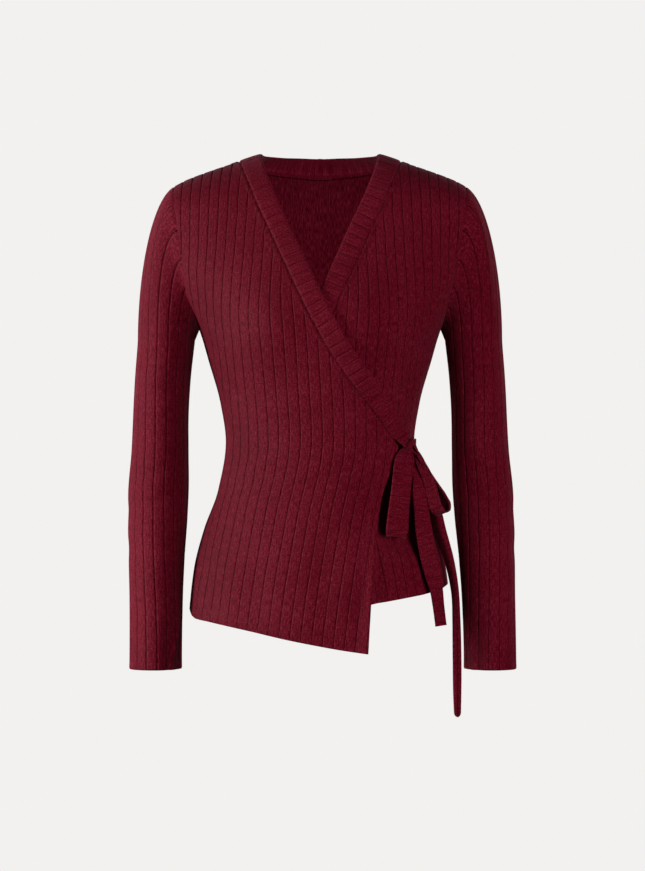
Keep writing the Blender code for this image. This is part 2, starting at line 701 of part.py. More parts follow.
class SleeveForm:
    """The wearer's left sleeve. Its ribs `c` are counted from the outer side towards the back."""

    ANGLES = np.radians(np.arange(-180, 180.1, 3.0))

    def __init__(self, swing):
        self.swing = swing
        self.columns = {name: column(SLEEVE, SLEEVE_COLUMNS, name, "height") for name in SLEEVE_COLUMNS[1:]}
        front, back = Grain(FRONT_RIBS, True), Grain(BACK_RIBS, False)
        going_up = [(place * (-1, 1, 1), out * (-1, 1, 1)) for _, _, place, out in armhole_line(front, -1)]
        coming_down = [(place, out) for _, _, place, out in reversed(armhole_line(back, 1))]
        self.loop = going_up + coming_down[1:]
        points = np.array([place for place, _ in self.loop])
        run = np.concatenate([[0.0], np.cumsum(np.linalg.norm(np.diff(points, axis=0), axis=1))])
        tip = len(going_up) - 1
        to_front, to_back = run[tip], run[-1] - run[tip]
        self.share = np.concatenate([run[:tip + 1] / to_front - 1, (run[tip + 1:] - to_front) / to_back])
        self.widest = self.half_round(CAP_BASE) / RIB
        self.arcs = {}

    def ring(self, angle, height):
        """Return the sleeve's inner face on the level ring at a height."""
        size = {name: self.columns[name](height) for name in self.columns}
        below = smoothstep((CUFF_FOLD["top"] - height) / (CUFF_FOLD["top"] - CUFF))
        turn = (abs(math.degrees(angle)) - CUFF_FOLD["angle"]) / CUFF_FOLD["width"]
        dent = CUFF_FOLD["deep"] * below * math.exp(-turn * turn) if angle < 0 else 0.0
        swing = self.swing * smoothstep((SWING_TOP - height) / (SWING_TOP - CUFF))
        x = size["out"] + swing + (size["half_width"] - dent * 0.4) * math.cos(angle)
        y = size["back"] + (size["half_depth"] - dent) * math.sin(angle)
        return np.array([x, y, height])

    def half_round(self, height):
        """Return half of the ring's length."""
        places = np.array([self.ring(angle, height) for angle in self.ANGLES if angle >= -1e-9])
        return float(np.linalg.norm(np.diff(places, axis=0), axis=1).sum())

    def ring_at(self, c, height):
        """Return the ring's point on rib c."""
        key = round(height, 3)
        if key not in self.arcs:
            places = np.array([self.ring(angle, height) for angle in self.ANGLES])
            run = np.concatenate([[0.0], np.cumsum(np.linalg.norm(np.diff(places, axis=0), axis=1))])
            self.arcs[key] = run - np.interp(0.0, self.ANGLES, run)
        arc = self.arcs[key]
        length = min(max(c * RIB, arc[0]), arc[-1])
        return self.ring(float(np.interp(length, arc, self.ANGLES)), height)

    def seam_rib(self, height, side):
        """Return the rib at the underarm seam."""
        self.ring_at(0, height)
        arc = self.arcs[round(height, 3)]
        return (arc[-1] if side > 0 else arc[0]) / RIB

    def loop_share(self, c):
        """Return how far along the armhole rib c meets it: -1 and 1 are the armpit, 0 the shoulder."""
        ease = CAP_EASE / (2 * math.pi)
        share = c / self.widest
        return share - ease * math.sin(2 * math.pi * share)

    def rib_of_share(self, share):
        """Return the rib that meets the armhole at a share."""
        ribs = np.linspace(-self.widest, self.widest, 401)
        return float(np.interp(share, [self.loop_share(c) for c in ribs], ribs))

    def seam(self, c):
        """Return the armhole's point, its wall direction and the direction away from the panel, at rib c."""
        share = min(max(self.loop_share(c), -1.0), 1.0)
        i = int(np.clip(np.searchsorted(self.share, share) - 1, 0, len(self.loop) - 2))
        t = (share - self.share[i]) / (self.share[i + 1] - self.share[i])
        (start, out_a), (end, out_b) = self.loop[i], self.loop[i + 1]
        place = start + (end - start) * t
        out = unit(out_a + (out_b - out_a) * t)
        return place, out, unit(np.cross(self.tangent(i, t), out))

    def tangent(self, i, t):
        """Return the armhole's direction, smoothed over its corners."""
        points = [place for place, _ in self.loop]
        before, after = points[max(i - 1, 0)], points[min(i + 2, len(points) - 1)]
        here, there = points[i], points[i + 1]
        return unit(unit(there - before) * (1 - t) + unit(after - here) * t)

    def cap_length(self, c):
        """Return the length of rib c from the base of the cap to the armhole."""
        return CAP_SLACK * float(np.linalg.norm(self.seam(c)[0] - self.ring_at(c, CAP_BASE)))

    def body(self, c, v):
        """Return the sleeve's inner face at rib c and v, where v runs on up each rib of the cap."""
        if v <= CAP_BASE:
            return self.ring_at(c, v)
        length = self.cap_length(c)
        low = self.ring_at(c, CAP_BASE)
        place, _, away = self.seam(c)
        rise = np.array([0, 0, CAP_RISE * length])
        handles = (low, low + rise, place + away * CAP_ROLL * length, place)
        return bezier(handles, min((v - CAP_BASE) / length, 1.0))

    def at(self, c, v):
        """Return the inner face's point and its outward direction."""
        reach = self.widest if v > CAP_BASE else min(self.seam_rib(v, 1), -self.seam_rib(v, -1))
        near = min(max(c, -reach + 0.05), reach - 0.05)
        top = CAP_BASE + self.cap_length(near) if v > CAP_BASE else v
        along_c, along_v = slope_vectors(self.body, near, min(v, top - 1.0) if v > CAP_BASE else v)
        return self.body(c, v), unit(np.cross(along_c, along_v))


def sleeve_piece(name, mirrored):
    """Make a sleeve with its underarm seam. It is drawn as the left one."""
    form = SleeveForm(SWING[name])
    heights = [CUFF] + [v for v in SLEEVE_ROWS if v <= CAP_BASE]
    front_seam, back_seam = [], []
    for height in heights:
        for side, line in ((-1, front_seam), (1, back_seam)):
            c = form.seam_rib(height, side)
            place = form.ring(math.pi, height)
            line.append((c, height, place, np.array([-1.0, 0, 0])))
    cap = []
    for share, (place, out) in zip(form.share, form.loop):
        c = form.rib_of_share(share)
        cap.append((c, CAP_BASE + form.cap_length(c), place, out))
    cuff = []
    for c in np.arange(math.ceil(form.seam_rib(CUFF, -1)) + 0.5, form.seam_rib(CUFF, 1) - 0.4, 1.0):
        cuff.append((float(c), CUFF) + form.at(c, CUFF))
    corners = cuff + back_seam + list(reversed(cap)) + list(reversed(front_seam))
    outer, inner = rib_cuts(-form.widest, form.widest)
    return cloth_piece(name, corners, outer, inner, SLEEVE_ROWS, form.at, WALL, mirrored)


# ---------------------------------------------------------------- the bow
def strip_piece(name, rows, wall):
    """Make a flat strip with rounded edges along its middle line."""
    rows = np.array(rows, float)
    middle = rows[:, :3]
    tangents = np.gradient(middle, axis=0)
    verts, faces = [], []
    for row, tangent in zip(rows, tangents):
        tangent = unit(tangent)
        across = row[4:7] - tangent * np.dot(row[4:7], tangent)
        across = unit(across)
        out = np.cross(across, tangent)
        verts += [row[:3] + across * row[3] * a + out * wall * b for a, b in STRIP_PROFILE]
    sides = len(STRIP_PROFILE)
    for ring in range(len(rows) - 1):
        for k in range(sides):
            a, b = ring * sides + k, ring * sides + (k + 1) % sides
            faces.append([a, b, b + sides, a + sides])
    faces.append(list(range(sides))[::-1])
    faces.append(list(range((len(rows) - 1) * sides, len(rows) * sides)))
    return make_object(name, verts, faces)


def knot_piece():
    """Make the knot as a small pinched ball."""
    ball = bmesh.new()
    bmesh.ops.create_uvsphere(ball, u_segments=14, v_segments=9, radius=1.0)
    verts = []
    for vert in ball.verts:
        x, y, z = vert.co
        pinch = 1 - KNOT_PINCH * math.cos(3 * math.atan2(z, x)) ** 2
        verts.append(np.array(KNOT_CENTRE) + np.array([x, y, z]) * KNOT_RADII * pinch)
    faces = [[vert.index for vert in face.verts] for face in ball.faces]
    ball.free()
    return make_object("knot", verts, faces)


def front_root_piece(neck):
    """Make the short tie from the end of the right front's band to the knot."""
    seam, out = neck.at(0, 0.0)
    free, _ = neck.at(0, BAND_WIDTH)
    across = unit(free - seam)
    start = (seam + free) / 2 + out * BAND_WALL / 2
    forward = unit(np.array(KNOT_CENTRE) - start)
    end = np.array(KNOT_CENTRE) - forward * (min(KNOT_RADII) + KNOT_SEAT)
    square = unit(np.cross(across, out))
    first = start + square * 0.5
    places = (first, first + square * 1.5, (first + end) / 2 + out * 0.6, end)
    rows = [(*place, BAND_WIDTH * share, *across) for place, share in zip(places, ROOT_WIDTHS)]
    return strip_piece("tie_front_root", rows, STRIP_WALL)


def build():
    """Clear the scene and make the whole garment."""
    for item in list(bpy.data.objects):
        bpy.data.objects.remove(item, do_unlink=True)
    neck = NeckLine()
    back_piece(neck)
    front_piece("front_right", neck, HEM_RIGHT, SIDE_HEM_RIGHT, lapped=True, mirrored=False)
    front_piece("front_left", neck, HEM_LEFT, SIDE_HEM_LEFT, lapped=False, mirrored=True)
    neckband_piece(neck)
    sleeve_piece("sleeve_left", mirrored=False)
    sleeve_piece("sleeve_right", mirrored=True)
    knot_piece()
    front_root_piece(neck)
    for name, rows in STRIPS.items():
        strip_piece(name, rows, FOLDED_WALL if name in FOLDED_STRIPS else STRIP_WALL)


build()
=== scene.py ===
"""Looks of the ribbed wrap top: cloth, seams, creases, stitching, bow, light and camera.

Each cloth piece is a thin shell on the form of its CAD solid, at finer sampling. The tables are in
millimetres. A point of a panel has a rib place `c` and a length place `v`, as in the part's source.
"""
import json
import math

import bmesh
import bpy
import numpy as np
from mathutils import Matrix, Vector
from mathutils.geometry import delaunay_2d_cdt

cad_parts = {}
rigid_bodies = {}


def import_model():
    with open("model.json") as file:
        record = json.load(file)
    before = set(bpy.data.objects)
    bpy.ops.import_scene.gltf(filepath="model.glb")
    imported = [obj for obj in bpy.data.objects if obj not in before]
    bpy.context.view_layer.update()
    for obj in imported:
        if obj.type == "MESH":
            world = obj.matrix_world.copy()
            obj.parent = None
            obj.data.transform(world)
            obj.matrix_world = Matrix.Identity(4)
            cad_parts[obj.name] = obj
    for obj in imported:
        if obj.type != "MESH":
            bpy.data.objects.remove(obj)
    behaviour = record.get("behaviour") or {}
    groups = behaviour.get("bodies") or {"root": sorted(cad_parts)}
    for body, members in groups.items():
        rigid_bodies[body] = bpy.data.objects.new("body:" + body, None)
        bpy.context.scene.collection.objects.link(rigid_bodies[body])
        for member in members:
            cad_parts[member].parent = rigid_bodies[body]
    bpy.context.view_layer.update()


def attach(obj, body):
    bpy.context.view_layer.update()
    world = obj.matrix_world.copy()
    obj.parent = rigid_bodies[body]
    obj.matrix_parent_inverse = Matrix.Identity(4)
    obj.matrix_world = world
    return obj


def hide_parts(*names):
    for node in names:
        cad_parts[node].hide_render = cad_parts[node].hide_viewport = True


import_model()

METRE = 0.001

# ---------------------------------------------------------------- sizes shared with the solids
WALL = 1.7
SEAM_GAP = 0.12
RIB = 13.0
LAP = 4.6
LAP_RISE = 62.0
LAP_SIDE = 12.0
BAND_WIDTH = 25.5
BAND_FULLER = 4.5
BAND_WALL = 2.2
BAND_RIB = 14.0
FINE = 4                  # stations of the neckband for each of its ribs
CHEST = -60.0
VAULT_BULGE = 0.55
SHOULDER = 40.0
ARMPIT = -197.5
SECTION_POWER = 2.17

TORSO_COLUMNS = ("height", "half_width", "front_depth", "back_depth")
TORSO = (
    (-620, 162.0, 106, 117),
    (-550, 161.0, 104, 114),
    (-500, 156.0, 103, 110),
    (-450, 143.5, 100, 101),
    (-400, 125.5, 94, 88),
    (-340, 116.0, 90, 78),
    (-290, 123.0, 96, 79),
    (-240, 137.0, 109, 87),
    (-200, 149.0, 117, 95),
    (-172, 162.0, 115, 99),
    (-148, 177.0, 109, 101),
    (-115, 199.0, 97, 99),
    (-80, 224.0, 85, 93),
    (-60, 242.0, 79, 88),
)
BUST = dict(out=66.0, height=-202.0, width=40.0, tall=48.0, lift=9.0)
SHOULDER_COLUMNS = ("out", "height")
SHOULDER_LINE = ((0, 31), (60, 21), (101, 8.6), (135, -2.6), (167, -14.8), (182, -23), (200, -35))

RIB_COLUMNS = ("height", "pitch", "centre")
FRONT_RIBS = (
    (-610, 13.3, 3.0),
    (-532, 13.3, 2.3),
    (-435, 13.1, 1.1),
    (-337, 13.1, -0.25),
    (-260, 13.4, 0.0),
    (-200, 13.6, 0.3),
    (-150, 12.3, 0.8),
    (-90, 11.6, 0.9),
    (-60, 11.9, 0.5),
)
BACK_RIBS = tuple((height, pitch, 0.0) for height, pitch, _ in FRONT_RIBS)
SHOULDER_PITCH = 12.4
SHOULDER_CENTRE = -0.3

NECK_SEAM_FRONT = (
    (84.0, -334), (66.5, -307), (38.6, -268), (12.0, -228), (-16.5, -180), (-42.0, -125),
    (-63.0, -78), (-82.0, -38), (-93.5, -5), (-99.5, 22), (-101.0, 40),
)
NECK_SEAM_BACK = (
    (-101.0, 40), (-97.5, 55), (-88.0, 69), (-71.0, 80.5), (-50.0, 88.4), (-25.0, 93.4),
    (-11.0, 95.9), (-4.0, 96.8), (0.0, 96.9),
)

ARMHOLE_COLUMNS = ("v", "out")
ARMHOLE = (
    (-190, 152.4), (-172, 157.0), (-148, 163.0), (-115, 169.5), (-82, 174.5), (-56, 178.2),
    (-30, 180.2), (-5, 181.2), (18, 181.6), (40, 181.8),
)
HEM_COLUMNS = ("x", "height")
HEM_RIGHT = (
    (-160, -553), (-158, -554.9), (-155, -556.2), (-148, -558.4), (-134, -560.8), (-87, -570.2),
    (-36, -581.6), (25, -593.3), (57, -598.3),
)
HEM_LEFT = ((-131, -526.6), (-96, -532.4), (-62, -538.2), (-25, -544.5), (20, -552.5), (58, -559))
SIDE_HEM_RIGHT = -551.0
SIDE_HEM_LEFT = -518.0
FRONT_EDGE = ((58.5, -568), (62.5, -508), (66.6, -459), (72.8, -411), (84.4, -372), (91.0, -345))

SLEEVE_COLUMNS = ("height", "out", "back", "half_width", "half_depth")
SLEEVE = (
    (-622, 209.7, -18, 31.0, 31.0),
    (-600, 209.6, -16, 31.0, 31.0),
    (-537, 208.5, -11, 31.6, 33.0),
    (-475, 206.6, -6, 33.8, 35.0),
    (-437, 204.6, -3, 35.3, 35.5),
    (-400, 203.0, 0, 36.1, 36.0),
    (-350, 200.3, 2, 34.0, 37.0),
    (-300, 198.7, 2, 33.0, 39.0),
    (-262, 196.5, 1, 33.2, 41.0),
    (-215, 192.0, 0, 34.0, 43.0),
)
CAP_BASE = -215.0
CAP_EASE = 0.43
CAP_SLACK = 1.03
CAP_RISE = 0.44
CAP_ROLL = 0.15
CUFF = -622.0
CUFF_FOLD = dict(angle=128.0, width=17.0, deep=5.0, top=-540.0)
SWING_TOP = -300.0
SWING = dict(sleeve_left=2.0, sleeve_right=-5.2)


# ---------------------------------------------------------------- small helpers
def unit(vectors):
    """Return vectors at length 1."""
    return vectors / np.maximum(np.linalg.norm(vectors, axis=-1, keepdims=True), 1e-12)


def column(rows, columns, wanted, key):
    """Return a smooth function of `key` that passes through a table's rows without overshoot."""
    table = np.array(sorted(rows, key=lambda row: row[columns.index(key)]), float)
    xs = table[:, columns.index(key)]
    ys = table[:, columns.index(wanted)]
    steps = np.diff(ys) / np.diff(xs)
    slopes = np.concatenate([[steps[0]], np.zeros(len(xs) - 2), [steps[-1]]])
    for i in range(1, len(xs) - 1):
        if steps[i - 1] * steps[i] > 0:
            slopes[i] = 2 * steps[i - 1] * steps[i] / (steps[i - 1] + steps[i])

    def at(x):
        x = np.clip(np.asarray(x, float), xs[0], xs[-1])
        i = np.clip(np.searchsorted(xs, x) - 1, 0, len(xs) - 2)
        span = xs[i + 1] - xs[i]
        return hermite((x - xs[i]) / span, span, ys, slopes, i)

    return at


def hermite(t, span, values, slopes, i):
    """Return the smooth curve from row i to row i + 1, at the share t of the way."""
    ends = (2 * t**3 - 3 * t**2 + 1) * values[i] + (3 * t**2 - 2 * t**3) * values[i + 1]
    return ends + span * ((t**3 - 2 * t**2 + t) * slopes[i] + (t**3 - t**2) * slopes[i + 1])


def run_along(points):
    """Return the length along a line to each of its points."""
    return np.concatenate([[0.0], np.cumsum(np.linalg.norm(np.diff(points, axis=0), axis=1))])


def hill(x, width):
    """Return a soft bump, 1 high at x = 0."""
    return np.exp(-((x / width) ** 2))


def smoothstep(x):
    """Rise softly from 0 to 1 while x goes from 0 to 1."""
    x = np.clip(x, 0.0, 1.0)
    return x * x * (3 - 2 * x)


def bezier(points, t):
    """Return the places at t on a cubic Bezier curve."""
    a, b, c, d = points
    t = np.asarray(t, float)[..., None]
    return (1 - t) ** 3 * a + 3 * t * (1 - t) ** 2 * b + 3 * t * t * (1 - t) * c + t**3 * d


def stack(x, y, z):
    """Return points from three coordinates."""
    return np.stack(np.broadcast_arrays(x, y, z), axis=-1).astype(float)


# ---------------------------------------------------------------- the torso's surface
half_width = column(TORSO, TORSO_COLUMNS, "half_width", "height")
front_depth = column(TORSO, TORSO_COLUMNS, "front_depth", "height")
back_depth = column(TORSO, TORSO_COLUMNS, "back_depth", "height")
shoulder_height = column(SHOULDER_LINE, SHOULDER_COLUMNS, "height", "out")
armhole_out = column(ARMHOLE, ARMHOLE_COLUMNS, "out", "v")


def section(angle, height, front):
    """Return x and y on the level section at a height, at an angle from the centre line."""
    power = 2 / SECTION_POWER
    sine = np.sin(angle)
    x = half_width(height) * np.sign(sine) * np.abs(sine) ** power
    cosine = np.abs(np.cos(angle))
    if not front:
        return x, back_depth(height) * cosine**power
    across = (np.abs(x) - BUST["out"]) / BUST["width"]
    above = (height - BUST["height"]) / BUST["tall"]
    lift = BUST["lift"] * np.exp(-(across**2) - above**2) * np.sqrt(cosine)
    return x, -front_depth(height) * cosine**power - lift


def angle_at(x, height):
    """Return the section angle at x."""
    share = np.minimum(np.abs(x) / half_width(height), 1.0)
    return np.sign(x) * np.arcsin(share ** (SECTION_POWER / 2))


def torso(x, v, front=True):
    """Return the torso's inner face at x and v."""
    x, v = np.broadcast_arrays(np.asarray(x, float), np.asarray(v, float))
    level = np.minimum(v, CHEST)
    lower_part = stack(x, section(angle_at(x, level), level, front)[1], level)
    low = section(angle_at(x, CHEST), CHEST, front)[1]
    lower = section(angle_at(x, CHEST - 20), CHEST - 20, front)[1]
    top = shoulder_height(np.abs(x))
    half_rise = (top - CHEST) / 2
    lean = (low - lower) / 20 * half_rise
    handles = (
        stack(x, low, CHEST), stack(x, low + lean, CHEST + half_rise),
        stack(x, VAULT_BULGE * low, top), stack(x, 0, top),
    )
    vault = bezier(handles, (v - CHEST) / (SHOULDER - CHEST))
    return np.where((v <= CHEST)[..., None], lower_part, vault)


def over_torso(x, v):
    """Return the torso at x and v, where v runs on past SHOULDER and down the back."""
    x, v = np.broadcast_arrays(np.asarray(x, float), np.asarray(v, float))
    behind = torso(x, 2 * SHOULDER - v, False)
    return np.where((v <= SHOULDER)[..., None], torso(x, v, True), behind)


def slope_vectors(surface, a, b, step=0.4):
    """Return a surface's directions along its two coordinates."""
    along_a = (surface(a + step, b) - surface(a - step, b)) / (2 * step)
    along_b = (surface(a, b + step) - surface(a, b - step)) / (2 * step)
    return along_a, along_b


def lap_lift(x, v):
    """Return how far the right front stands off the body, to lie over the left one."""
    below_neck = smoothstep((CHEST - v) / LAP_RISE)
    from_side = smoothstep((half_width(v) - 1 + x) / LAP_SIDE)
    return LAP * below_neck * from_side


class Lattice:
    """A surface worked out once on a fine net of c and v, then read between its points."""

    def __init__(self, c_values, v_values, row, outward, drape=None):
        self.c, self.v = np.asarray(c_values, float), np.asarray(v_values, float)
        self.places = np.array([row(self.c, v) for v in self.v])
        self.normals = self.directions(outward)
        if drape is not None:
            c, v = np.meshgrid(self.c, self.v)
            self.places = self.places + self.normals * drape(c, v, self.places)[..., None]
            self.normals = self.directions(outward)

    def directions(self, outward):
        """Return the outward directions, from the net's own slopes."""
        along_c = np.gradient(self.places, self.c, axis=1)
        along_v = np.gradient(self.places, self.v, axis=0)
        return unit(np.cross(along_c, along_v)) * outward

    def at(self, c, v):
        """Return the points and the outward directions at arrays of c and v."""
        c, v = np.asarray(c, float), np.asarray(v, float)
        i = np.clip(np.searchsorted(self.c, c) - 1, 0, len(self.c) - 2)
        j = np.clip(np.searchsorted(self.v, v) - 1, 0, len(self.v) - 2)
        s = np.clip((c - self.c[i]) / (self.c[i + 1] - self.c[i]), -0.5, 1.5)[..., None]
        t = np.clip((v - self.v[j]) / (self.v[j + 1] - self.v[j]), -0.5, 1.5)[..., None]
        found = []
        for net in (self.places, self.normals):
            low = net[j, i] * (1 - s) + net[j, i + 1] * s
            high = net[j + 1, i] * (1 - s) + net[j + 1, i + 1] * s
            found.append(low * (1 - t) + high * t)
        return found[0], unit(found[1])


class Grain:
    """The rib lines of a torso panel: which point lies on rib `c` at `v`."""

    ANGLES = np.radians(np.linspace(-90, 90, 181))

    def __init__(self, ribs, front):
        self.pitch = column(ribs, RIB_COLUMNS, "pitch", "height")
        self.centre = column(ribs, RIB_COLUMNS, "centre", "height")
        self.front = front
        self.shoulder_centre = SHOULDER_CENTRE if front else 0.0
        self.lengths = {}

    def arc(self, height):
        """Return the length along the section from the centre line to each of ANGLES."""
        key = round(float(height), 3)
        if key not in self.lengths:
            places = np.stack(section(self.ANGLES, key, self.front), axis=-1)
            run = run_along(places)
            self.lengths[key] = run - np.interp(0.0, self.ANGLES, run)
        return self.lengths[key]

    def row(self, c, v):
        """Return the body's points along one row of the net."""
        arc = self.arc(min(v, CHEST))
        centre, pitch = self.centre(min(v, CHEST)), self.pitch(min(v, CHEST))
        length = (c - centre) * pitch
        angle = np.interp(length, arc, self.ANGLES)
        x, y = section(angle, min(v, CHEST), self.front)
        if v > CHEST:
            top = (c - self.shoulder_centre) * SHOULDER_PITCH
            blend = smoothstep((v - CHEST) / (SHOULDER - CHEST))
            return torso(x + (top - x) * blend, np.full(len(c), v), self.front)
        beyond = np.maximum(length - arc[-1], 0) + np.maximum(arc[0] - length, 0)
        return stack(x, y + beyond * (1 if self.front else -1), v)

    def side_rib(self, height, side):
        """Return the rib at the side seam."""
        return float(self.centre(height) + side * self.arc(height)[-1] / self.pitch(height))

    def rib_at(self, x, v):
        """Return the rib that passes through x at v, for arrays of both."""
        found = []
        ribs = np.arange(-24, 24.01, 0.25)
        for out, level in np.broadcast(x, v):
            if level <= CHEST:
                length = np.interp(angle_at(out, level), self.ANGLES, self.arc(level))
                found.append(float(self.centre(level) + length / self.pitch(level)))
            else:
                found.append(float(np.interp(out, self.row(ribs, level)[:, 0], ribs)))
        return np.array(found)


# ---------------------------------------------------------------- creases of the cloth
# Each trough has a ridge beside it. Its place, width and reach are shares of the trough's width.
RIDGE = dict(place=1.7, width=1.2, reach=3, height=0.45)


def crease_field(rows):
    """Return a function that gives how far soft troughs and ridges move the cloth in and out."""
    paths = []
    for c0, v0, c1, v1, bend, width, depth in rows:
        start, end = np.array([c0 * RIB, v0]), np.array([c1 * RIB, v1])
        side = np.array([start[1] - end[1], end[0] - start[0]])
        middle = (start + end) / 2 + side / max(np.linalg.norm(side), 1e-9) * bend
        t = np.linspace(0, 1, 13)[:, None]
        path = (1 - t) ** 2 * start + 2 * t * (1 - t) * middle + t * t * end
        paths.append((path, width, depth))

    def drape(c, v):
        flat = np.stack([np.asarray(c) * RIB, np.asarray(v) + 0.0 * np.asarray(c)], axis=-1)
        move = np.zeros(flat.shape[:-1])
        for path, width, depth in paths:
            best = np.full(move.shape, 1e9)
            share = np.zeros(move.shape)
            beside = np.zeros(move.shape)
            for k in range(len(path) - 1):
                step = path[k + 1] - path[k]
                length = np.linalg.norm(step)
                rest = flat - path[k]
                t = np.clip((rest @ step) / length**2, 0, 1)
                gap = rest - t[..., None] * step
                distance = np.linalg.norm(gap, axis=-1)
                cross = (step[0] * rest[..., 1] - step[1] * rest[..., 0]) / length
                nearer = distance < best
                best = np.where(nearer, distance, best)
                share = np.where(nearer, (k + t) / (len(path) - 1), share)
                beside = np.where(nearer, cross, beside)
            along = np.sin(np.pi * np.clip(share, 0.0, 1.0)) ** 0.8
            ridge = hill(beside - RIDGE["place"] * width, RIDGE["width"] * width)
            ridge = ridge * hill(best, RIDGE["reach"] * width)
            move -= depth * along * (hill(best, width) - RIDGE["height"] * ridge)
        return move

    return drape


# Troughs, or ridges where the depth is below 0. A row has the rib and height of each end, how far its middle
# bends aside, its width and its depth.
CREASES = {
    "front_right": (
        (-13.0, -196, -8.0, -262, 6, 9, 1.8),
        (-12.5, -214, -6.0, -300, -8, 8, 1.4),
        (-12.0, -150, -9.5, -205, 5, 8, 1.3),
        (-9.6, -372, -3.0, -340, 6, 11, 1.5),
        (-9.4, -402, -1.0, -362, -8, 12, 1.7),
        (-6.0, -318, 2.5, -300, -6, 12, 1.2),
        (-4.0, -420, 5.8, -352, 8, 11, 1.5),
        (0.0, -335, 5.5, -318, 4, 9, 1.3),
        (-10.5, -470, -7.0, -560, 6, 16, 2.2),
        (-4.5, -470, -2.5, -575, -6, 18, 1.6),
        (1.8, -455, 3.2, -590, 6, 16, 1.7),
        (7.45, -335, 7.25, -630, 0, 9, -8.0),
    ),
    "front_left": (
        (-13.0, -196, -8.0, -262, 6, 9, 1.8),
        (-12.5, -214, -6.5, -300, -8, 8, 1.4),
        (-12.0, -150, -9.5, -205, 5, 8, 1.2),
        (-9.5, -376, -6.0, -330, 6, 10, 1.6),
        (-9.3, -400, -6.5, -352, 5, 9, 1.4),
        (-10.5, -440, -8.5, -525, 6, 14, 1.8),
        (-5.3, -375, -2.1, -590, 0, 7, 5.0),
    ),
    "back": (
        (-15.5, -196, -10.0, -262, 6, 10, 1.8),
        (15.5, -196, 10.0, -262, -6, 10, 1.8),
        (-10.8, -372, -2.0, -352, 7, 12, 1.9),
        (10.8, -376, 1.5, -362, -8, 12, 1.7),
        (-9.0, -335, 4.0, -325, 10, 13, 1.5),
        (-10.4, -408, 7.0, -398, 12, 14, 1.6),
        (-8.0, -440, -7.0, -545, 6, 18, 2.0),
        (0.5, -450, -0.5, -560, -6, 20, 1.6),
        (8.0, -445, 7.5, -535, 5, 18, 2.0),
        (-13.0, -110, -9.0, -215, 6, 13, 1.4),
        (13.0, -110, 9.0, -215, -6, 13, 1.4),
    ),
    "sleeve": (
        (-5.0, -232, -1.5, -250, 4, 9, 1.5),
        (-6.8, -262, -2.5, -286, -5, 9, 1.6),
        (6.6, -258, 2.5, -290, 5, 9, 1.5),
        (-6.5, -372, -1.0, -388, 5, 10, 1.7),
        (-6.9, -402, -2.0, -410, -6, 9, 1.9),
        (-6.2, -432, 0.5, -424, 5, 10, 1.4),
        (5.8, -398, 1.5, -418, 6, 10, 1.5),
        (-5.6, -486, 1.5, -470, 6, 12, 1.2),
        (-5.2, -540, -0.5, -552, -5, 13, 1.3),
        (4.8, -500, 0.5, -530, 6, 13, 1.2),
        (-7.0, -540, -3.7, -700, 0, 2.6, -1.7),
        (-7.3, -560, -5.2, -700, 0, 8, 4.5),
    ),
}


# A hollow under the bow: the rib and height of its middle, its half width and height, and its depth.
HOLLOWS = {"front_left": (-6.8, -432.0, 31.0, 42.0, 13.0)}


def hollow(name, c, v):
    """Return how far the cloth falls in under the bow."""
    if name not in HOLLOWS:
        return 0.0
    rib, height, wide, tall, deep = HOLLOWS[name]
    return deep * np.exp(-((((c - rib) * RIB) / wide) ** 4) - (((v - height) / tall) ** 4))


# ---------------------------------------------------------------- the neckband's line
def spaced(rows, spacing):
    """Return even places along a line over the torso, given by a few rows of x and v."""
    rows = np.array(rows, float)
    knots = np.concatenate([[0.0], np.cumsum(np.hypot(*np.diff(rows, axis=0).T))])
    table = tuple(zip(knots, rows[:, 0], rows[:, 1]))
    names = ("knot", "out", "v")
    k = np.linspace(0, knots[-1], 900)
    out, along = column(table, names, "out", "knot")(k), column(table, names, "v", "knot")(k)
    points = over_torso(out, along)
    run = run_along(points)
    count = max(2, round(run[-1] / spacing)) * FINE
    wanted = np.linspace(0, run[-1], count + 1)
    return np.stack([np.interp(wanted, run, out), np.interp(wanted, run, along)], axis=-1)


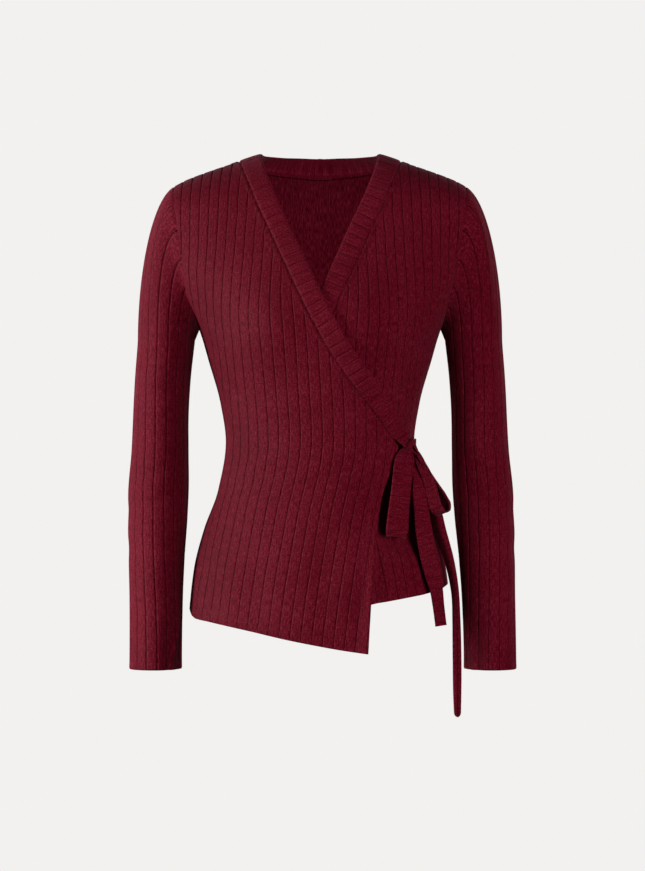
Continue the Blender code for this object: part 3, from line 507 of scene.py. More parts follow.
class NeckLine:
    """The neckband: FINE stations for each rib, each with a path from the seam to the free edge."""

    def __init__(self):
        right = spaced(NECK_SEAM_FRONT, BAND_RIB)
        half_back = spaced(NECK_SEAM_BACK, BAND_RIB)
        mirror = np.array([-1.0, 1.0])
        back = np.vstack([half_back[:-1], half_back[::-1] * mirror])
        left = right[::-1] * mirror
        self.stations = np.vstack([right[:-1], back[:-1], left])
        self.right_count = len(right) - 1
        self.back_count = len(back) - 1
        self.count = len(self.stations) - 1
        points = over_torso(self.stations[:, 0], self.stations[:, 1])
        self.paths = self.cross(self.stations, unit(np.gradient(points, axis=0)))
        self.lattice = self.build()

    @staticmethod
    def cross(stations, tangents):
        """Walk over the torso from the neck seam to the band's free edge, square to the seam."""
        steps = 6
        x, v = stations[:, 0].copy(), stations[:, 1].copy()
        width = BAND_WIDTH + BAND_FULLER * smoothstep((v + 20) / 55)
        path = [np.stack([x, v], axis=-1)]
        for _ in range(steps):
            along_x, along_v = slope_vectors(over_torso, x, v)
            out = unit(np.cross(along_x, along_v))
            move = unit(np.cross(out, tangents)) * (-width / steps)[:, None]
            a, b, d = (along_x * along_x).sum(-1), (along_x * along_v).sum(-1), (along_v * along_v).sum(-1)
            p, q = (along_x * move).sum(-1), (along_v * move).sum(-1)
            scale = a * d - b * b
            x, v = x + (d * p - b * q) / scale, v + (a * q - b * p) / scale
            path.append(np.stack([x, v], axis=-1))
        return np.array(path)

    def build(self):
        """Return the band's net, whose c runs backwards, from 0 down to minus the number of ribs."""
        across = np.linspace(-2, BAND_WIDTH + 2, 19)
        order = np.arange(self.count, -1, -1)
        lap = (order < self.right_count).astype(float)

        def row(c, place):
            k = place / BAND_WIDTH * (len(self.paths) - 1)
            j = int(np.clip(k, 0, len(self.paths) - 2))
            spot = self.paths[j] + (k - j) * (self.paths[j + 1] - self.paths[j])
            x, v = spot[order, 0], spot[order, 1]
            along_x, along_v = slope_vectors(over_torso, x, v)
            out = unit(np.cross(along_x, along_v))
            return over_torso(x, v) + out * (lap_lift(x, v) * lap)[:, None]

        return Lattice(-order / FINE, across, row, 1.0)

    def seam_xv(self, first, last):
        """Return x and v of the stations from first to last."""
        return self.stations[first:last + 1, 0], self.stations[first:last + 1, 1]


# ---------------------------------------------------------------- the sleeve's surface
def armhole_heights():
    """Return the v places of the armhole line, from the armpit up."""
    return np.concatenate([[ARMPIT], np.linspace(-190, SHOULDER, 36)])


def armhole_line(lattice, grain, side):
    """Return the armhole's c, v, places and wall directions, from the armpit to the shoulder."""
    v = armhole_heights()
    x = side * np.where(v == ARMPIT, half_width(ARMPIT), armhole_out(v))
    c = grain.rib_at(x, v)
    c[0] = grain.side_rib(ARMPIT, side)
    place = torso(x, v, grain.front)
    out = lattice.at(c, v)[1]
    out[0] = (side, 0, 0)
    down = smoothstep((place[:, 2] + 140) / (ARMPIT + 140))[:, None]
    out = unit(out * (1 - down) + np.array([0, 0, -1.0]) * down)
    return c, v, place, out


class SleeveForm:
    """The wearer's left sleeve. Its ribs `c` are counted from the outer side towards the back."""

    ANGLES = np.radians(np.arange(-200, 200.1, 2.0))

    def __init__(self, swing, front_line, back_line):
        self.swing = swing
        names = SLEEVE_COLUMNS[1:]
        self.columns = {name: column(SLEEVE, SLEEVE_COLUMNS, name, "height") for name in names}
        mirror = np.array([-1, 1, 1])
        places = np.vstack([front_line[2] * mirror, back_line[2][::-1][1:]])
        outs = np.vstack([front_line[3] * mirror, back_line[3][::-1][1:]])
        run = run_along(places)
        tip = len(front_line[0]) - 1
        behind = (run[tip + 1:] - run[tip]) / (run[-1] - run[tip])
        self.share = np.concatenate([run[:tip + 1] / run[tip] - 1, behind])
        self.places, self.outs = places, outs
        smooth = unit(np.gradient(places, axis=0))
        for _ in range(3):
            smooth[1:-1] = unit(smooth[:-2] + 2 * smooth[1:-1] + smooth[2:])
        self.away = unit(np.cross(smooth, outs))
        self.widest = self.seam_rib(CAP_BASE, 1)
        v_values = np.concatenate([np.arange(CUFF - 4, CAP_BASE, 3.0), np.arange(CAP_BASE, 60, 2.5)])
        self.lattice = Lattice(
            np.arange(-self.widest - 1.5, self.widest + 1.55, 0.1), v_values, self.row, 1.0,
            lambda c, v, places: self.drape(c, v),
        )

    def drape(self, c, v):
        """Return the creases, faded out at the armhole."""
        near_cap = np.clip((self.cap_length(c) + CAP_BASE - v) / 30, 0, 1)
        return crease_field(CREASES["sleeve"])(c, v) * near_cap

    def ring(self, angle, height):
        """Return the sleeve's inner face on the level ring at a height."""
        size = {name: float(self.columns[name](height)) for name in self.columns}
        below = smoothstep((CUFF_FOLD["top"] - height) / (CUFF_FOLD["top"] - CUFF))
        turn = (np.abs(np.degrees(angle)) - CUFF_FOLD["angle"]) / CUFF_FOLD["width"]
        dent = np.where(angle < 0, CUFF_FOLD["deep"] * below * np.exp(-turn * turn), 0.0)
        swing = self.swing * smoothstep((SWING_TOP - height) / (SWING_TOP - CUFF))
        x = size["out"] + swing + (size["half_width"] - dent * 0.4) * np.cos(angle)
        y = size["back"] + (size["half_depth"] - dent) * np.sin(angle)
        return stack(x, y, height)

    def ring_arc(self, height):
        """Return the length round the ring to each of ANGLES."""
        places = self.ring(self.ANGLES, height)
        run = run_along(places)
        return run - np.interp(0.0, self.ANGLES, run)

    def ring_at(self, c, height):
        """Return the ring's points on ribs c."""
        return self.ring(np.interp(c * RIB, self.ring_arc(height), self.ANGLES), height)

    def seam_rib(self, height, side):
        """Return the rib at the underarm seam."""
        return float(np.interp(side * math.pi, self.ANGLES, self.ring_arc(height))) / RIB

    def loop_share(self, c):
        """Return how far along the armhole ribs c meet it: -1 and 1 are the armpit, 0 the shoulder."""
        share = np.asarray(c, float) / self.widest
        return share - CAP_EASE / (2 * math.pi) * np.sin(2 * math.pi * share)

    def rib_of_share(self, share):
        """Return the ribs that meet the armhole at the shares."""
        ribs = np.linspace(-self.widest, self.widest, 801)
        return np.interp(share, self.loop_share(ribs), ribs)

    def seam(self, c):
        """Return the armhole's points and the directions away from the panel, at ribs c."""
        share = np.clip(self.loop_share(np.clip(c, -self.widest, self.widest)), -1, 1)
        place = np.stack([np.interp(share, self.share, self.places[:, k]) for k in range(3)], axis=-1)
        away = np.stack([np.interp(share, self.share, self.away[:, k]) for k in range(3)], axis=-1)
        return place, unit(away)

    def cap_length(self, c):
        """Return the length of ribs c from the base of the cap to the armhole."""
        c = np.asarray(c, float)
        flat = c.reshape(-1)
        place = self.seam(flat)[0]
        low = self.ring_at(np.clip(flat, -self.widest, self.widest), CAP_BASE)
        return (CAP_SLACK * np.linalg.norm(place - low, axis=-1)).reshape(c.shape)

    def row(self, c, v):
        """Return the sleeve's inner face along one row of the net."""
        if v <= CAP_BASE:
            return self.ring_at(c, v)
        inside = np.clip(c, -self.widest, self.widest)
        length = self.cap_length(inside)
        low = self.ring_at(c, CAP_BASE)
        place, away = self.seam(inside)
        place = place + (low - self.ring_at(inside, CAP_BASE))
        rising = low + stack(0, 0, CAP_RISE * length)
        rolling = place + away * (CAP_ROLL * length)[:, None]
        handles = (low, rising, rolling, place)
        return bezier(handles, np.minimum((v - CAP_BASE) / length, 1.08))


# ---------------------------------------------------------------- one thin shell of cloth
RIB_CUTS = (-0.5, -0.34, -0.22, -0.15, -0.1, -0.065, -0.03, 0.0, 0.03, 0.065, 0.1, 0.15, 0.22, 0.34)
GROOVE_HALF = 0.06
GROOVE_DEPTH = 0.84
RIB_SHOULDER = 0.09
SHOULDER_REACH = 0.19
FREE = ("hem", "edge", "cuff", "band")
ALLOWANCE = 5.5
THINNEST = 0.45           # the least height of the outer face over the inner one
RIM_BULGE = 0.35          # how far a free edge is rounded out
# What each kind of edge does to the cloth's height. A row has the share that its ribs lose, up to which
# distance and how softly; what the turned allowance adds, in the same way; and the stitch line's depth,
# place and width.
EDGES = (
    ("hem", 0.35, 17.0, 4.0, 0.55, 15.2, 1.6, 0.35, 13.2, 0.9),
    ("edge", 0.9, 13.5, 2.0, 0.55, 12.8, 1.6, 0.35, 11.2, 0.9),
    ("cuff", 0.0, 1.0, 1.0, 0.2, 8.2, 1.5, 0.3, 6.2, 0.8),
    ("neck", 0.9, 7.0, 1.5, 0.7, 6.6, 1.4, 0.95, 4.9, 0.75),
)
# How deep and how wide the outer face dips at a seam, at the neck's seam and at a free edge.
SEAM_DIP = (0.6, 1.0)
NECK_DIP = (1.5, 1.2)
FREE_DIP = (0.5, 0.8)


def rib_profile(c):
    """Return how far the outer face lies below the top of a rib: a narrow groove with rounded shoulders."""
    place = np.abs(c - np.round(c))
    return hill(place, GROOVE_HALF) * GROOVE_DEPTH + RIB_SHOULDER * hill(place, SHOULDER_REACH)


def flat_gap(points, lines):
    """Return the distance in the flat cloth from each point to the nearest of some segments."""
    best = np.full(len(points), 1e9)
    for start, end in lines:
        step = end - start
        rest = points - start
        t = np.clip((rest @ step) / max(step @ step, 1e-9), 0, 1)
        best = np.minimum(best, np.linalg.norm(rest - t[:, None] * step, axis=1))
    return best


def inside(points, outline):
    """Return which points lie inside the outline."""
    x, y = points[:, 0], points[:, 1]
    hit = np.zeros(len(points), bool)
    for (ax, ay), (bx, by) in zip(outline, np.roll(outline, -1, axis=0)):
        crosses = (ay > y) != (by > y)
        if ay != by:
            hit ^= crosses & (x < (bx - ax) * (y - ay) / (by - ay) + ax)
    return hit


def net_points(outline, columns, rows, margin):
    """Return the points of a net that lie inside the outline, and not too near it."""
    c, v = np.meshgrid(np.array(columns) * RIB, rows)
    points = np.stack([c.ravel(), v.ravel()], axis=-1)
    low, high = outline.min(0) - 1, outline.max(0) + 1
    points = points[((points > low) & (points < high)).all(1)]
    points = points[inside(points, outline)]
    close = flat_gap(points, list(zip(outline, np.roll(outline, -1, axis=0))))
    return points[close > margin]


def triangulate(outline, extra):
    """Return the points and triangles of the flat outline with its inner points."""
    points = np.vstack([outline, extra]) if len(extra) else outline
    n = len(outline)
    edges = [(i, (i + 1) % n) for i in range(n)]
    found = delaunay_2d_cdt([Vector((float(x), float(y))) for x, y in points], edges, [], 1, 1e-5, True)
    verts, faces, origin = found[0], found[2], found[3]
    place = np.array([[p.x, p.y] for p in verts])
    source = np.array([min(ids) if len(ids) else -1 for ids in origin])
    corners = np.array(faces)
    middle = place[corners].mean(axis=1)
    return place, corners[inside(middle, outline)].tolist(), source


class Panel:
    """Everything that makes one cloth piece: its outline in the flat, and how it lies on its surface."""

    def __init__(self, name, lattice, pieces, wall=WALL):
        self.name, self.lattice, self.wall = name, lattice, wall
        self.c = np.concatenate([np.asarray(p["c"], float) for p in pieces])
        self.v = np.concatenate([np.asarray(p["v"], float) for p in pieces])
        self.place = np.vstack([p["place"] for p in pieces])
        self.out = np.vstack([p["out"] for p in pieces])
        self.kind = np.array([kind for p in pieces for kind in [p["kind"]] * len(p["c"])])
        self.drop_doubles()
        self.flat = np.stack([self.c * RIB, self.v], axis=-1)
        before = unit(self.place - np.roll(self.place, 1, axis=0))
        after = unit(np.roll(self.place, -1, axis=0) - self.place)
        inward = np.cross(self.out, before) + np.cross(self.out, after)
        reach = SEAM_GAP / np.maximum(np.linalg.norm(inward, axis=1) / 2, 0.5)
        self.inward = unit(inward)
        self.place = self.place + self.inward * reach[:, None]
        self.lines = {}
        n = len(self.c)
        for i in range(n):
            self.lines.setdefault(self.kind[i], []).append((self.flat[i], self.flat[(i + 1) % n]))

    def drop_doubles(self):
        """Leave out corners that lie on the one before."""
        gap = np.linalg.norm(self.place - np.roll(self.place, 1, axis=0), axis=1)
        keep = gap > 0.25
        for name in ("c", "v", "place", "out", "kind"):
            setattr(self, name, getattr(self, name)[keep])

    def gap(self, flat, *kinds):
        """Return the distance to the nearest edge of the given kinds."""
        best = np.full(len(flat), 1e9)
        for kind in kinds:
            if kind in self.lines:
                best = np.minimum(best, flat_gap(flat, self.lines[kind]))
        return best

    def thickness(self, flat):
        """Return the outer face's height over the inner face."""
        gaps = {row[0]: self.gap(flat, row[0]) for row in EDGES}
        flatten = np.ones(len(flat))
        high = np.full(len(flat), self.wall)
        for kind, flatter, flat_to, flat_soft, rise, rise_to, rise_soft, line, line_at, line_wide in EDGES:
            gap = gaps[kind]
            flatten = flatten * (1 - flatter * smoothstep((flat_to - gap) / flat_soft))
            high += rise * smoothstep((rise_to - gap) / rise_soft) - line * hill(gap - line_at, line_wide)
        high -= rib_profile(flat[:, 0] / RIB) * flatten
        seam = self.gap(flat, "armhole", "side", "shoulder")
        free = np.minimum(np.minimum(gaps["hem"], gaps["edge"]), gaps["cuff"])
        for gap, (deep, wide) in ((seam, SEAM_DIP), (gaps["neck"], NECK_DIP), (free, FREE_DIP)):
            high -= deep * hill(gap, wide)
        return np.maximum(high, THINNEST)


def shell(panel, columns, inner_columns, rows, thickness=None, mirrored=False, margin=0.5,
          inner_rows=None, inner_raise=None, inner_drop=None):
    """Make the closed thin shell: a detailed outer face, a plain inner face and a rounded rim."""
    thickness = thickness or panel.thickness
    n = len(panel.c)
    verts, uvs, faces, rims = [], [], [], []
    start = 0
    for cuts, raised in ((columns, True), (inner_columns, False)):
        levels = rows if raised else (rows[::2] if inner_rows is None else inner_rows)
        extra = net_points(panel.flat, cuts, levels, margin if raised or inner_rows is not None else 2.0)
        place, triangles, source = triangulate(panel.flat, extra)
        drop = 0.0 if raised or inner_drop is None else inner_drop(place)
        points, out = panel.lattice.at(place[:, 0] / RIB, place[:, 1] - drop)
        rim = {}
        for i, origin in enumerate(source):
            if 0 <= origin < n:
                rim[int(origin)] = start + i
                points[i], out[i] = panel.place[origin], panel.out[origin]
        if raised:
            points = points + out * thickness(place)[:, None]
        elif inner_raise is not None:
            points = points - out * inner_raise(place)[:, None]
        verts.append(points)
        uvs.append(place / RIB)
        faces += [[start + k for k in (face if raised else face[::-1])] for face in triangles]
        inner_faces = 0 if raised else len(triangles)
        rims.append(rim)
        start += len(points)
    high = thickness(panel.flat)
    free = np.isin(panel.kind, FREE) & np.isin(np.roll(panel.kind, 1), FREE)
    push = np.where(free, RIM_BULGE, 0.0)
    middle = panel.place + panel.out * (high / 2)[:, None] - panel.inward * push[:, None]
    verts.append(middle)
    uvs.append(panel.flat / RIB)
    for i in range(n):
        j = (i + 1) % n
        mid_a, mid_b = start + i, start + j
        top_a, top_b, low_a, low_b = rims[0][i], rims[0][j], rims[1][i], rims[1][j]
        faces += [[mid_a, mid_b, top_b], [mid_a, top_b, top_a], [low_a, low_b, mid_b], [low_a, mid_b, mid_a]]
    sides = np.zeros(len(faces), np.int32)
    sides[len(faces) - 4 * n - inner_faces:len(faces) - 4 * n] = 1
    cloth = "across" if panel.name == "neckband" else "jersey"
    return make_mesh(panel.name, np.vstack(verts), faces, np.vstack(uvs), mirrored, cloth, sides=sides)


def make_mesh(name, verts, faces, uvs, mirrored=False, material="jersey", sharp=50, sides=None):
    """Make a mesh object from points in millimetres, with a map of its flat cloth."""
    verts = np.asarray(verts, float) * METRE
    if mirrored:
        verts = verts * np.array([-1, 1, 1])
    mesh = bpy.data.meshes.new(name)
    mesh.from_pydata(verts.tolist(), [], faces)
    mesh.update()
    if uvs is not None:
        layer = mesh.uv_layers.new(name="cloth")
        corner = np.zeros(len(mesh.loops), np.int32)
        mesh.loops.foreach_get("vertex_index", corner)
        layer.data.foreach_set("uv", np.asarray(uvs, np.float32)[corner].ravel())
    solid = bmesh.new()
    solid.from_mesh(mesh)
    bmesh.ops.recalc_face_normals(solid, faces=solid.faces[:])
    solid.to_mesh(mesh)
    solid.free()
    mesh.shade_smooth()
    if sharp:
        mesh.set_sharp_from_angle(angle=math.radians(sharp))
    mesh.materials.append(MATERIALS[material])
    if sides is not None:
        # the inner faces get a copy of the cloth with painted shade, and the band's inner face one with
        # painted light
        mesh.materials.append(MATERIALS["band_inside" if name == "neckband" else "inside"])
        mesh.polygons.foreach_set("material_index", sides)
    piece = bpy.data.objects.new(name, mesh)
    bpy.context.scene.collection.objects.link(piece)
    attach(piece, "root")
    return piece


def flat_size(panel):
    """Return the flat cut's width, length and area in metres, with seam and hem allowances left out."""
    low, high = panel.flat.min(0), panel.flat.max(0)
    x, y = panel.flat[:, 0], panel.flat[:, 1]
    area = abs(np.dot(x, np.roll(y, -1)) - np.dot(y, np.roll(x, -1))) / 2
    return (high - low) * METRE, area * METRE**2


def rib_columns(low, high, cuts=RIB_CUTS):
    """Return the net's columns between two ribs."""
    return [k + cut for k in range(math.floor(low) - 1, math.ceil(high) + 2) for cut in cuts]


# ---------------------------------------------------------------- stitches
def stitch_row(path, normals, length=2.4, gap=0.7, radius=0.17):
    """Return the points and faces of a row of small stitches along a line on the cloth."""
    run = run_along(path)
    count = int(run[-1] // (length + gap))
    verts, faces = [], []
    for k in range(count):
        s0 = k * (length + gap) + gap / 2
        ends = [np.array([np.interp(s, run, path[:, i]) for i in range(3)]) for s in (s0, s0 + length)]
        out = unit(np.array([np.interp(s0 + length / 2, run, normals[:, i]) for i in range(3)]))
        along = unit(ends[1] - ends[0])
        side = np.cross(along, out)
        centre = (ends[0] + ends[1]) / 2
        base = len(verts)
        verts += [ends[0] - out * 0.1, ends[1] - out * 0.1]
        for shift in (-0.28, 0.28):
            spot = centre + along * length * shift
            verts += [spot + side * radius, spot + out * radius * 1.1]
            verts += [spot - side * radius, spot - out * radius]
        for i in range(4):
            j = (i + 1) % 4
            faces += [
                [base, base + 2 + j, base + 2 + i],
                [base + 2 + i, base + 2 + j, base + 6 + j, base + 6 + i],
                [base + 1, base + 6 + i, base + 6 + j],
            ]
    return verts, faces


STITCH_PLACES = {"hem": (12.4, 14.6), "edge": (11.0,), "neck": (4.6,), "cuff": (6.2,)}
STITCH_LIFT = 0.05


def offset_line(panel, kind, away, lift, trim=3.0, inner=False):
    """Return a line on a face of the panel, a set distance from the edges of one kind."""
    mask = panel.kind == kind
    n = len(mask)
    first = next(i for i in range(n) if mask[i] and not mask[i - 1])
    order = [(first + k) % n for k in range(n) if mask[(first + k) % n]]
    order.append((order[-1] + 1) % n)
    flat = panel.flat[order]
    step = unit(np.gradient(flat, axis=0))
    normal = np.stack([-step[:, 1], step[:, 0]], axis=-1)
    test = flat[len(flat) // 2] + normal[len(flat) // 2]
    if not inside(test[None], panel.flat)[0]:
        normal = -normal
    moved = flat + normal * away
    keep = inside(moved, panel.flat)
    others = [other for other in panel.lines if other != kind]
    keep &= panel.gap(moved, *others) > trim
    moved = moved[keep]
    points, out = panel.lattice.at(moved[:, 0] / RIB, moved[:, 1])
    if inner:
        return points - out * lift, -out
    return points + out * (panel.thickness(moved) + lift)[:, None], out


def stitch_lines(panel, *kinds):
    """Return the lines of stitches along a panel's edges of the given kinds."""
    return [offset_line(panel, kind, away, STITCH_LIFT) for kind in kinds for away in STITCH_PLACES[kind]]


def stitches(name, lines, mirrored=False, thread_name="thread", **sizes):
    """Make one piece of all the stitches of a panel."""
    verts, faces = [], []
    for path, normals in lines:
        if len(path) < 3:
            continue
        more, sides = stitch_row(path, normals, **sizes)
        faces += [[len(verts) + k for k in side] for side in sides]
        verts += more
    return make_mesh(name, np.array(verts), faces, None, mirrored, thread_name, None)


# ---------------------------------------------------------------- materials
def node(tree, kind, **values):
    """Add a shader node with its settings and input values."""
    made = tree.nodes.new(kind)
    for key, value in values.items():
        if key in made.inputs:
            made.inputs[key].default_value = value
        else:
            setattr(made, key, value)
    return made


def join(tree, *pairs):
    """Link outputs to inputs."""
    for source, target in pairs:
        tree.links.new(source, target)


def maths(tree, operation, a, b=None, c=None):
    """Add a maths node on sockets or numbers, and return its output."""
    made = tree.nodes.new("ShaderNodeMath")
    made.operation = operation
    for i, value in enumerate((a, b, c)):
        if value is None:
            continue
        if isinstance(value, (int, float)):
            made.inputs[i].default_value = value
        else:
            tree.links.new(value, made.inputs[i])
    return made.outputs[0]


def ramp(tree, source, stops):
    """Add a colour ramp with (place, colour) stops, and return its colour."""
    made = tree.nodes.new("ShaderNodeValToRGB")
    while len(made.color_ramp.elements) < len(stops):
        made.color_ramp.elements.new(0.5)
    for element, (place, colour) in zip(made.color_ramp.elements, stops):
        element.position = place
        element.color = (*colour, 1.0)
    tree.links.new(source, made.inputs[0])
    return made.outputs[0]


CLOTH_DARK = (0.084, 0.0008, 0.0064)
CLOTH_MAIN = (0.142, 0.0030, 0.0138)
CLOTH_LIGHT = (0.218, 0.0150, 0.0320)
# Painted light in the grooves' colour: darker where their shade falls on the outer cloth, lighter lines on
# the plain inner faces in place of raised ribs.
PAINTED_GROOVE_EDGES = (0.012, 0.05)     # where the groove's shade ends, in ribs from its middle
WALES, COURSES = 10, 13          # for each rib and each rib's width: 1.3 mm and 1.0 mm apart
FULL_TURN = 2 * math.pi


def jersey(name, groove_painted_light, brightness, wales=(6.5, 1.1), share=0.5):
    """Return the heathered wine-red rib jersey: fine wales along the ribs, with painted shade in the grooves,
    which becomes a painted highlight line when the groove factor is above 1.
    """
    material = bpy.data.materials.new(name)
    material.use_nodes = True
    tree = material.node_tree
    shader = tree.nodes["Principled BSDF"]
    uv = node(tree, "ShaderNodeUVMap", uv_map="cloth")
    split = node(tree, "ShaderNodeSeparateXYZ")
    join(tree, (uv.outputs[0], split.inputs[0]))
    u, v = split.outputs[0], split.outputs[1]

    # fine uneven wales, long along the rib, and a broken course across them
    stretch = node(tree, "ShaderNodeMapping", Scale=(*wales, 1.0))
    join(tree, (uv.outputs[0], stretch.inputs["Vector"]))
    heather = node(tree, "ShaderNodeTexNoise", Scale=1.6, Detail=3.0, Roughness=0.62)
    join(tree, (stretch.outputs[0], heather.inputs["Vector"]))
    coarse = node(tree, "ShaderNodeTexNoise", Scale=0.16, Detail=2.0, Roughness=0.5)
    join(tree, (uv.outputs[0], coarse.inputs["Vector"]))
    speckle = node(tree, "ShaderNodeTexNoise", Scale=7.0, Detail=2.0, Roughness=0.6)
    join(tree, (uv.outputs[0], speckle.inputs["Vector"]))

    tone = maths(tree, "MULTIPLY_ADD", heather.outputs["Fac"], share, 0.0)
    tone = maths(tree, "MULTIPLY_ADD", speckle.outputs["Fac"], 0.90 - share, tone)
    tone = maths(tree, "MULTIPLY_ADD", coarse.outputs["Fac"], 0.12, tone)
    stops = ((0.40, CLOTH_DARK), (0.51, CLOTH_MAIN), (0.61, CLOTH_LIGHT))
    stops = tuple((place, tuple(value * brightness for value in colour)) for place, colour in stops)
    colour = ramp(tree, tone, stops)

    # painted shade: the groove between two ribs is coloured darker where its shade falls; a groove factor
    # above 1 paints a highlight line there instead
    place = maths(tree, "ABSOLUTE", maths(tree, "SUBTRACT", u, maths(tree, "ROUND", u)))
    groove = node(tree, "ShaderNodeMapRange", interpolation_type="SMOOTHSTEP")
    for key, value in zip(("From Min", "From Max", "To Min", "To Max"), (*PAINTED_GROOVE_EDGES, groove_painted_light, 1.0)):
        groove.inputs[key].default_value = value
    join(tree, (place, groove.inputs["Value"]))
    shade = node(tree, "ShaderNodeMix", data_type="RGBA", blend_type="MULTIPLY")
    shade.inputs[0].default_value = 1.0
    join(tree, (colour, shade.inputs[6]), (groove.outputs[0], shade.inputs[7]))
    join(tree, (shade.outputs[2], shader.inputs["Base Color"]))

    # knit relief: wales along the rib, and courses that waver with them
    wale = maths(tree, "SINE", maths(tree, "MULTIPLY", u, FULL_TURN * WALES))
    waver = maths(tree, "MULTIPLY", wale, 0.9)
    course = maths(tree, "SINE", maths(tree, "MULTIPLY_ADD", v, FULL_TURN * COURSES, waver))
    knit = maths(tree, "MULTIPLY_ADD", course, 0.35, wale)
    knit = maths(tree, "MULTIPLY_ADD", heather.outputs["Fac"], 1.6, knit)
    bump = node(tree, "ShaderNodeBump", Strength=0.35, Distance=0.00022)
    join(tree, (knit, bump.inputs["Height"]), (bump.outputs[0], shader.inputs["Normal"]))
    shader.inputs["Roughness"].default_value = 0.7
    shader.inputs["Specular IOR Level"].default_value = 0.13
    shader.inputs["Sheen Weight"].default_value = 0.09
    shader.inputs["Sheen Roughness"].default_value = 0.4
    shader.inputs["Sheen Tint"].default_value = (1.0, 0.6, 0.72, 1.0)
    return material


def thread(name, low, high):
    """Return a sewing thread, uneven between two colours."""
    material = bpy.data.materials.new(name)
    material.use_nodes = True
    tree = material.node_tree
    shader = tree.nodes["Principled BSDF"]
    place = node(tree, "ShaderNodeTexCoord")
    noise = node(tree, "ShaderNodeTexNoise", Scale=900.0, Detail=2.0)
    join(tree, (place.outputs["Object"], noise.inputs["Vector"]))
    colour = ramp(tree, noise.outputs["Fac"], ((0.3, low), (0.7, high)))
    join(tree, (colour, shader.inputs["Base Color"]))
    shader.inputs["Roughness"].default_value = 0.55
    return material


# The second value is the painted light in the grooves: below 1 painted shade, above 1 painted highlight
# lines. The third scales the colour: 0.8 is painted shade for the inner faces, 1.1 painted light for the
# band's inner face.
MATERIALS = {
    "jersey": jersey("wine_rib_jersey_cloth", 0.42, 1.0),
    "inside": jersey("wine_rib_jersey_inside", 1.3, 0.8, share=0.8),
    "band_inside": jersey("wine_rib_jersey_band_inside", 1.3, 1.1, (7.0, 0.35), 0.6),
    "across": jersey("wine_rib_jersey_across", 0.62, 1.0, (7.0, 0.35), 0.36),
    "thread": thread("wine_thread", (0.075, 0.0006, 0.005), (0.125, 0.002, 0.010)),
    # a near-black thread, painted shadow under the band's edge at the back neck seam
    "seam_thread": thread("wine_seam_thread", (0.012, 0.0002, 0.001), (0.025, 0.0004, 0.002)),
}


# ---------------------------------------------------------------- the panels
def part(c, v, place, out, kind):
    """Return one stretch of an outline."""
    flat = dict(c=np.atleast_1d(c), v=np.atleast_1d(v))
    return dict(flat, place=np.atleast_2d(place), out=np.atleast_2d(out), kind=kind)


def turned(stretch):
    """Return a stretch of outline the other way round."""
    values = (stretch[key][::-1] for key in ("c", "v", "place", "out"))
    return part(*values, stretch["kind"])


def on_surface(lattice, grain, x, v, kind):
    """Return a stretch of outline through places given as x and v."""
    c = grain.rib_at(np.asarray(x, float), np.asarray(v, float))
    place, out = lattice.at(c, np.asarray(v, float))
    return part(c, v, place, out, kind)


def side_stretch(lattice, grain, side, hem):
    """Return the side seam from the hem up to the armpit."""
    v = np.linspace(hem, ARMPIT - 4, 52)
    c = np.array([grain.side_rib(level, side) for level in v])
    out = np.tile([float(side), 0.0, 0.0], (len(v), 1))
    return part(c, v, stack(side * half_width(v), 0.0, v), out, "side")


NET_RIBS = 21              # how many ribs a torso net reaches to each side
NET_TOP = SHOULDER + 3


def rib_net(step):
    """Return the ribs of a torso net, at a step."""
    return np.arange(-NET_RIBS, NET_RIBS + 0.05, step)


def torso_lattice(grain, name, lapped=False):
    """Return the net of a torso panel, with its creases and its lap."""
    creases = crease_field(CREASES[name])

    def drape(c, v, places):
        x = places[..., 0]
        fade = smoothstep((half_width(v) - np.abs(x) + 2) / 16)
        fade = np.where(v > CHEST, 1.0, fade)
        move = creases(c, v) * fade
        return move - hollow(name, c, v) + (lap_lift(x, np.minimum(v, CHEST)) if lapped else 0.0)

    v_values = np.concatenate([np.arange(-622, CHEST, 3.0), np.arange(CHEST, NET_TOP, 2.0)])
    return Lattice(rib_net(0.125), v_values, grain.row, 1.0 if grain.front else -1.0, drape)


def front_panel(name, neck, hem, side_hem, lapped, line):
    """Return a front, drawn as the right one. The left one is its mirror image."""
    grain = Grain(FRONT_RIBS, True)
    lattice = torso_lattice(grain, name, lapped)
    x, v = neck.seam_xv(0, neck.right_count)
    hem_x = np.linspace(hem[0][0], hem[-1][0], 42)
    hem_v = column(hem, HEM_COLUMNS, "height", "x")(hem_x)
    edge_rows = [row for row in FRONT_EDGE if row[1] > hem[-1][1] + 8]
    edge_rows = [hem[-1]] + edge_rows + [tuple(neck.stations[0])]
    edge_v = np.linspace(edge_rows[0][1], edge_rows[-1][1], 48)[1:-1]
    edge_x = column(edge_rows, HEM_COLUMNS, "x", "height")(edge_v)
    shoulder_x = -np.linspace(armhole_out(SHOULDER), -neck.stations[neck.right_count][0], 12)[1:-1]
    pieces = [
        on_surface(lattice, grain, hem_x[:-1], hem_v[:-1], "hem"),
        on_surface(lattice, grain, hem_x[-1:], hem_v[-1:], "edge"),
        on_surface(lattice, grain, edge_x, edge_v, "edge"),
        on_surface(lattice, grain, x, v, "neck"),
        on_surface(lattice, grain, shoulder_x[::-1], np.full(10, SHOULDER), "shoulder"),
        turned(part(*line, "armhole")),
        turned(side_stretch(lattice, grain, -1, side_hem)),
    ]
    return Panel(name, lattice, pieces)


